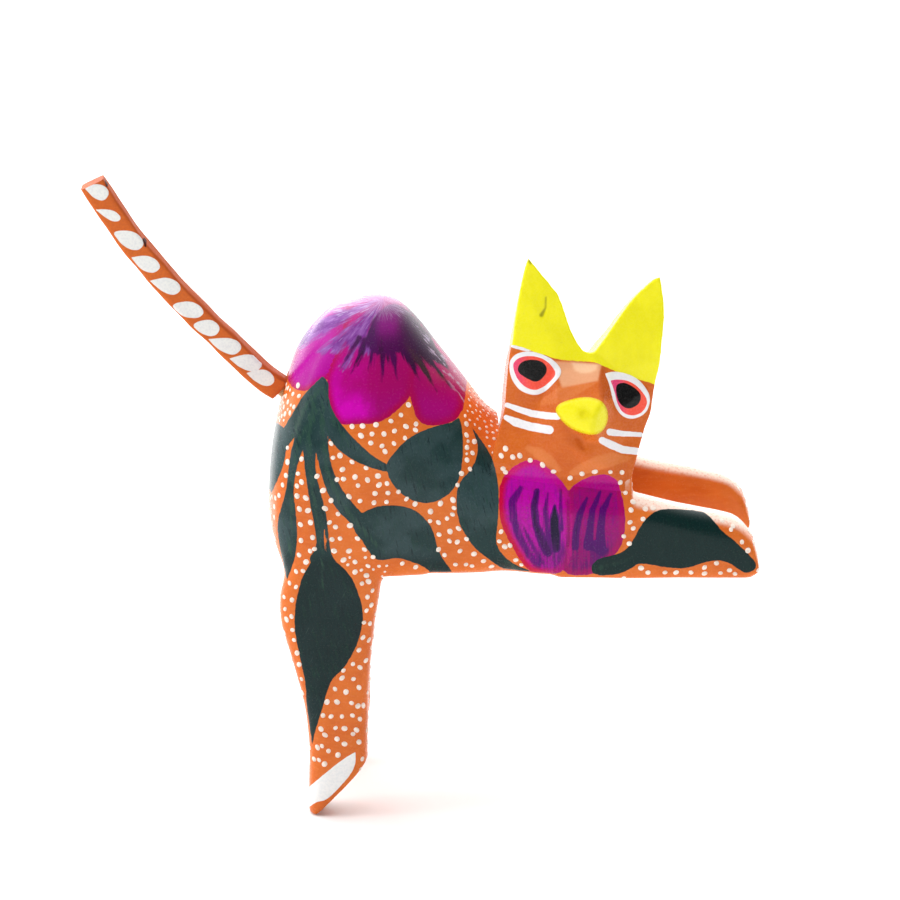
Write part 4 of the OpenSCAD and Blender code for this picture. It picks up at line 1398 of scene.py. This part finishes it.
# the rest: rows along the leaves first, then scattered over the orange
for ob in painted:
    P, N = coords(ob), normals(ob)
    order = rng.permutation(len(P))
    if ob is head:
        L = head_local(P)
        NL = N @ HEAD_R
        free = (L[:, 1] > 2.0) & (NL[:, 0] > -0.6) & (read(ob, "yellow") < -1.2) & (NL[:, 2] > -0.7) & (L[:, 2] > NECK_Z + 1.5) & (NL[:, 1] > -0.6)
        zone = np.zeros(len(P))
        small = np.zeros(len(P), bool)
        band = np.zeros(len(P), bool)
    else:
        leaf, pet, heart, foot = (read(ob, k) for k in ("leaf", "petal", "heart", "foot"))
        zone = np.maximum.reduce([leaf, pet, heart, foot])
        inner = (np.abs(P[:, 1]) < 12.5) & (N[:, 1] * np.sign(P[:, 1]) < -0.2)
        under = N[:, 2] < -0.55
        toe_ = P[:, 2] < -44.5
        chest = (np.abs(P[:, 0] - CHEST_X) < 0.3) & ((np.abs(P[:, 1]) < 11) | (N[:, 0] > 0.6))
        sunk = np.array([(whole_tree.find_nearest(Vector(q))[3] or 0.0) > 0.05 for q in P])
        free = (zone < -0.7) & ~inner & ~under & ~toe_ & ~chest & ~sunk
        if ob in (legs["fore", "right"], legs["fore", "left"]):
            free &= N[:, 2] < 0.6
        if ob is body:
            seat_d = np.linalg.norm(P - SEAT, axis=1)
            free &= seat_d > 4.6
        small = ((P[:, 0] > 17) & (P[:, 0] < 27) & (P[:, 2] > 18)) if ob is body else np.zeros(len(P), bool)
        small |= (P[:, 0] < -19) & (P[:, 2] > 25)
        small |= (P[:, 0] > -12.5) & (P[:, 0] < 1.5) & (P[:, 2] < 5.5) & (P[:, 2] > -2) if ob is body else False
        band = zone > -1.5
    for pass_band in (True, False):
        for i in order:
            if not free[i] or (pass_band and not band[i]):
                continue
            s = small[i]
            gap = (1.35 if s else 2.3) if pass_band else (1.45 if s else 2.6)
            if crowded(P[i], gap):
                continue
            add_dot(ob, P[i], N[i], rng.uniform(0.30, 0.43) if s else rng.uniform(0.48, 0.66), 0.10 if s else 0.15)

RIDE = {"cat_body": "figure", "cat_head": "figure", "cat_tail": "tail"}
pieces = []
n_dots = 0
for ob in painted:
    V, F = dots[ob.name]
    if not V:
        continue
    d = make("dots_on_" + ob.name[4:], np.array(V), F)
    d.data.polygons.foreach_set("use_smooth", [True] * len(d.data.polygons))
    dress(d, M_DOT)
    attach(d, "figure")
    pieces.append(d)
    n_dots += len(V) // 49
print("dots", n_dots)

for ob, node in [(body, "body"), (head, "head"), (tail, "tail"), (legs["fore", "right"], "foreleg_right"),
                 (legs["fore", "left"], "foreleg_left"), (legs["hind", "right"], "hind_leg_right"),
                 (legs["hind", "left"], "hind_leg_left")]:
    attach(ob, RIDE.get(ob.name, "figure"))
    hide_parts(node)

# ---------------------------------------------------------------------------
# Floor, light and camera
# ---------------------------------------------------------------------------
FLOOR_Z = -55.0
bm = bmesh.new()
bmesh.ops.create_grid(bm, x_segments=1, y_segments=1, size=6.0)
me = bpy.data.meshes.new("floor")
bm.to_mesh(me)
bm.free()
floor = bpy.data.objects.new("floor", me)
floor.location = (0, 0, (FLOOR_Z - 0.15) * MM)
scene.collection.objects.link(floor)
p = Paint("floor_white")
fn = p.noise(p.stretch(1, 1, 1), 3.0, 2)
p.put(p.bsdf.inputs["Base Color"], p.mix(fn, (0.86, 0.86, 0.86, 1), (0.88, 0.88, 0.88, 1)))
p.bsdf.inputs["Roughness"].default_value = 0.9
p.bsdf.inputs["Specular IOR Level"].default_value = 0.1
dress(floor, p.mat)

w = bpy.data.worlds.new("studio")
scene.world = w
w.use_nodes = True
wn, wl = w.node_tree.nodes, w.node_tree.links
bg = wn["Background"]
bg.inputs[0].default_value = (1.0, 1.0, 1.0, 1)
tc = wn.new("ShaderNodeTexCoord")
sep = wn.new("ShaderNodeSeparateXYZ")
wl.new(tc.outputs["Generated"], sep.inputs[0])


def wmath(op, a, b):
    m = wn.new("ShaderNodeMath")
    m.operation = op
    for i, v in enumerate((a, b)):
        if isinstance(v, bpy.types.NodeSocket):
            wl.new(v, m.inputs[i])
        else:
            m.inputs[i].default_value = v
    return m.outputs[0]


def wstep(v, a, b, lo, hi):
    m = wn.new("ShaderNodeMapRange")
    m.interpolation_type = "SMOOTHSTEP"
    wl.new(v, m.inputs["Value"])
    for k, x in (("From Min", a), ("From Max", b), ("To Min", lo), ("To Max", hi)):
        m.inputs[k].default_value = x
    return m.outputs["Result"]


# bright behind, above and a little to the left; a dimmer room in front
def wdot(d):
    out = None
    for k, ax in zip(d, "XYZ"):
        t = wmath("MULTIPLY", sep.outputs[ax], k)
        out = t if out is None else wmath("ADD", out, t)
    return out


sky = wstep(wdot((-0.38, 0.74, 0.55)), -0.1, 0.85, 0.30, 2.6)
sky = wmath("ADD", sky, wstep(wdot((-0.15, 0.95, 0.27)), 0.88, 0.975, 0.0, 1.7))
wl.new(wmath("ADD", sky, wstep(sep.outputs["Z"], 0.55, 1.0, 0.0, 0.7)), bg.inputs[1])


def area(name, loc, aim, size, power, col=(1, 1, 1)):
    L = bpy.data.lights.new(name, "AREA")
    L.shape = "RECTANGLE"
    L.size, L.size_y = size
    L.energy = power
    L.color = col
    ob = bpy.data.objects.new(name, L)
    scene.collection.objects.link(ob)
    ob.location = loc
    ob.rotation_euler = (Vector(aim) - Vector(loc)).to_track_quat("-Z", "Y").to_euler()
    return ob


area("strip_left", (-0.75, -0.15, 0.45), (0.0, 0.0, 0.02), (0.12, 0.7), 1.3)

cam_data = bpy.data.cameras.new("camera")
cam_data.sensor_width = 36.0
cam_data.lens = 36.0 * THROW / (900 * UNIT)
cam_data.clip_start = 0.05
cam_data.clip_end = 50
cam = bpy.data.objects.new("camera", cam_data)
scene.collection.objects.link(cam)
cam.location = Vector(EYE * MM)
cam.rotation_euler = (math.pi / 2 - TILT, 0, 0)
scene.camera = cam

scene.view_settings.view_transform = "Standard"
scene.view_settings.look = "None"
scene.view_settings.exposure = 0.0
scene.view_settings.gamma = 1.0
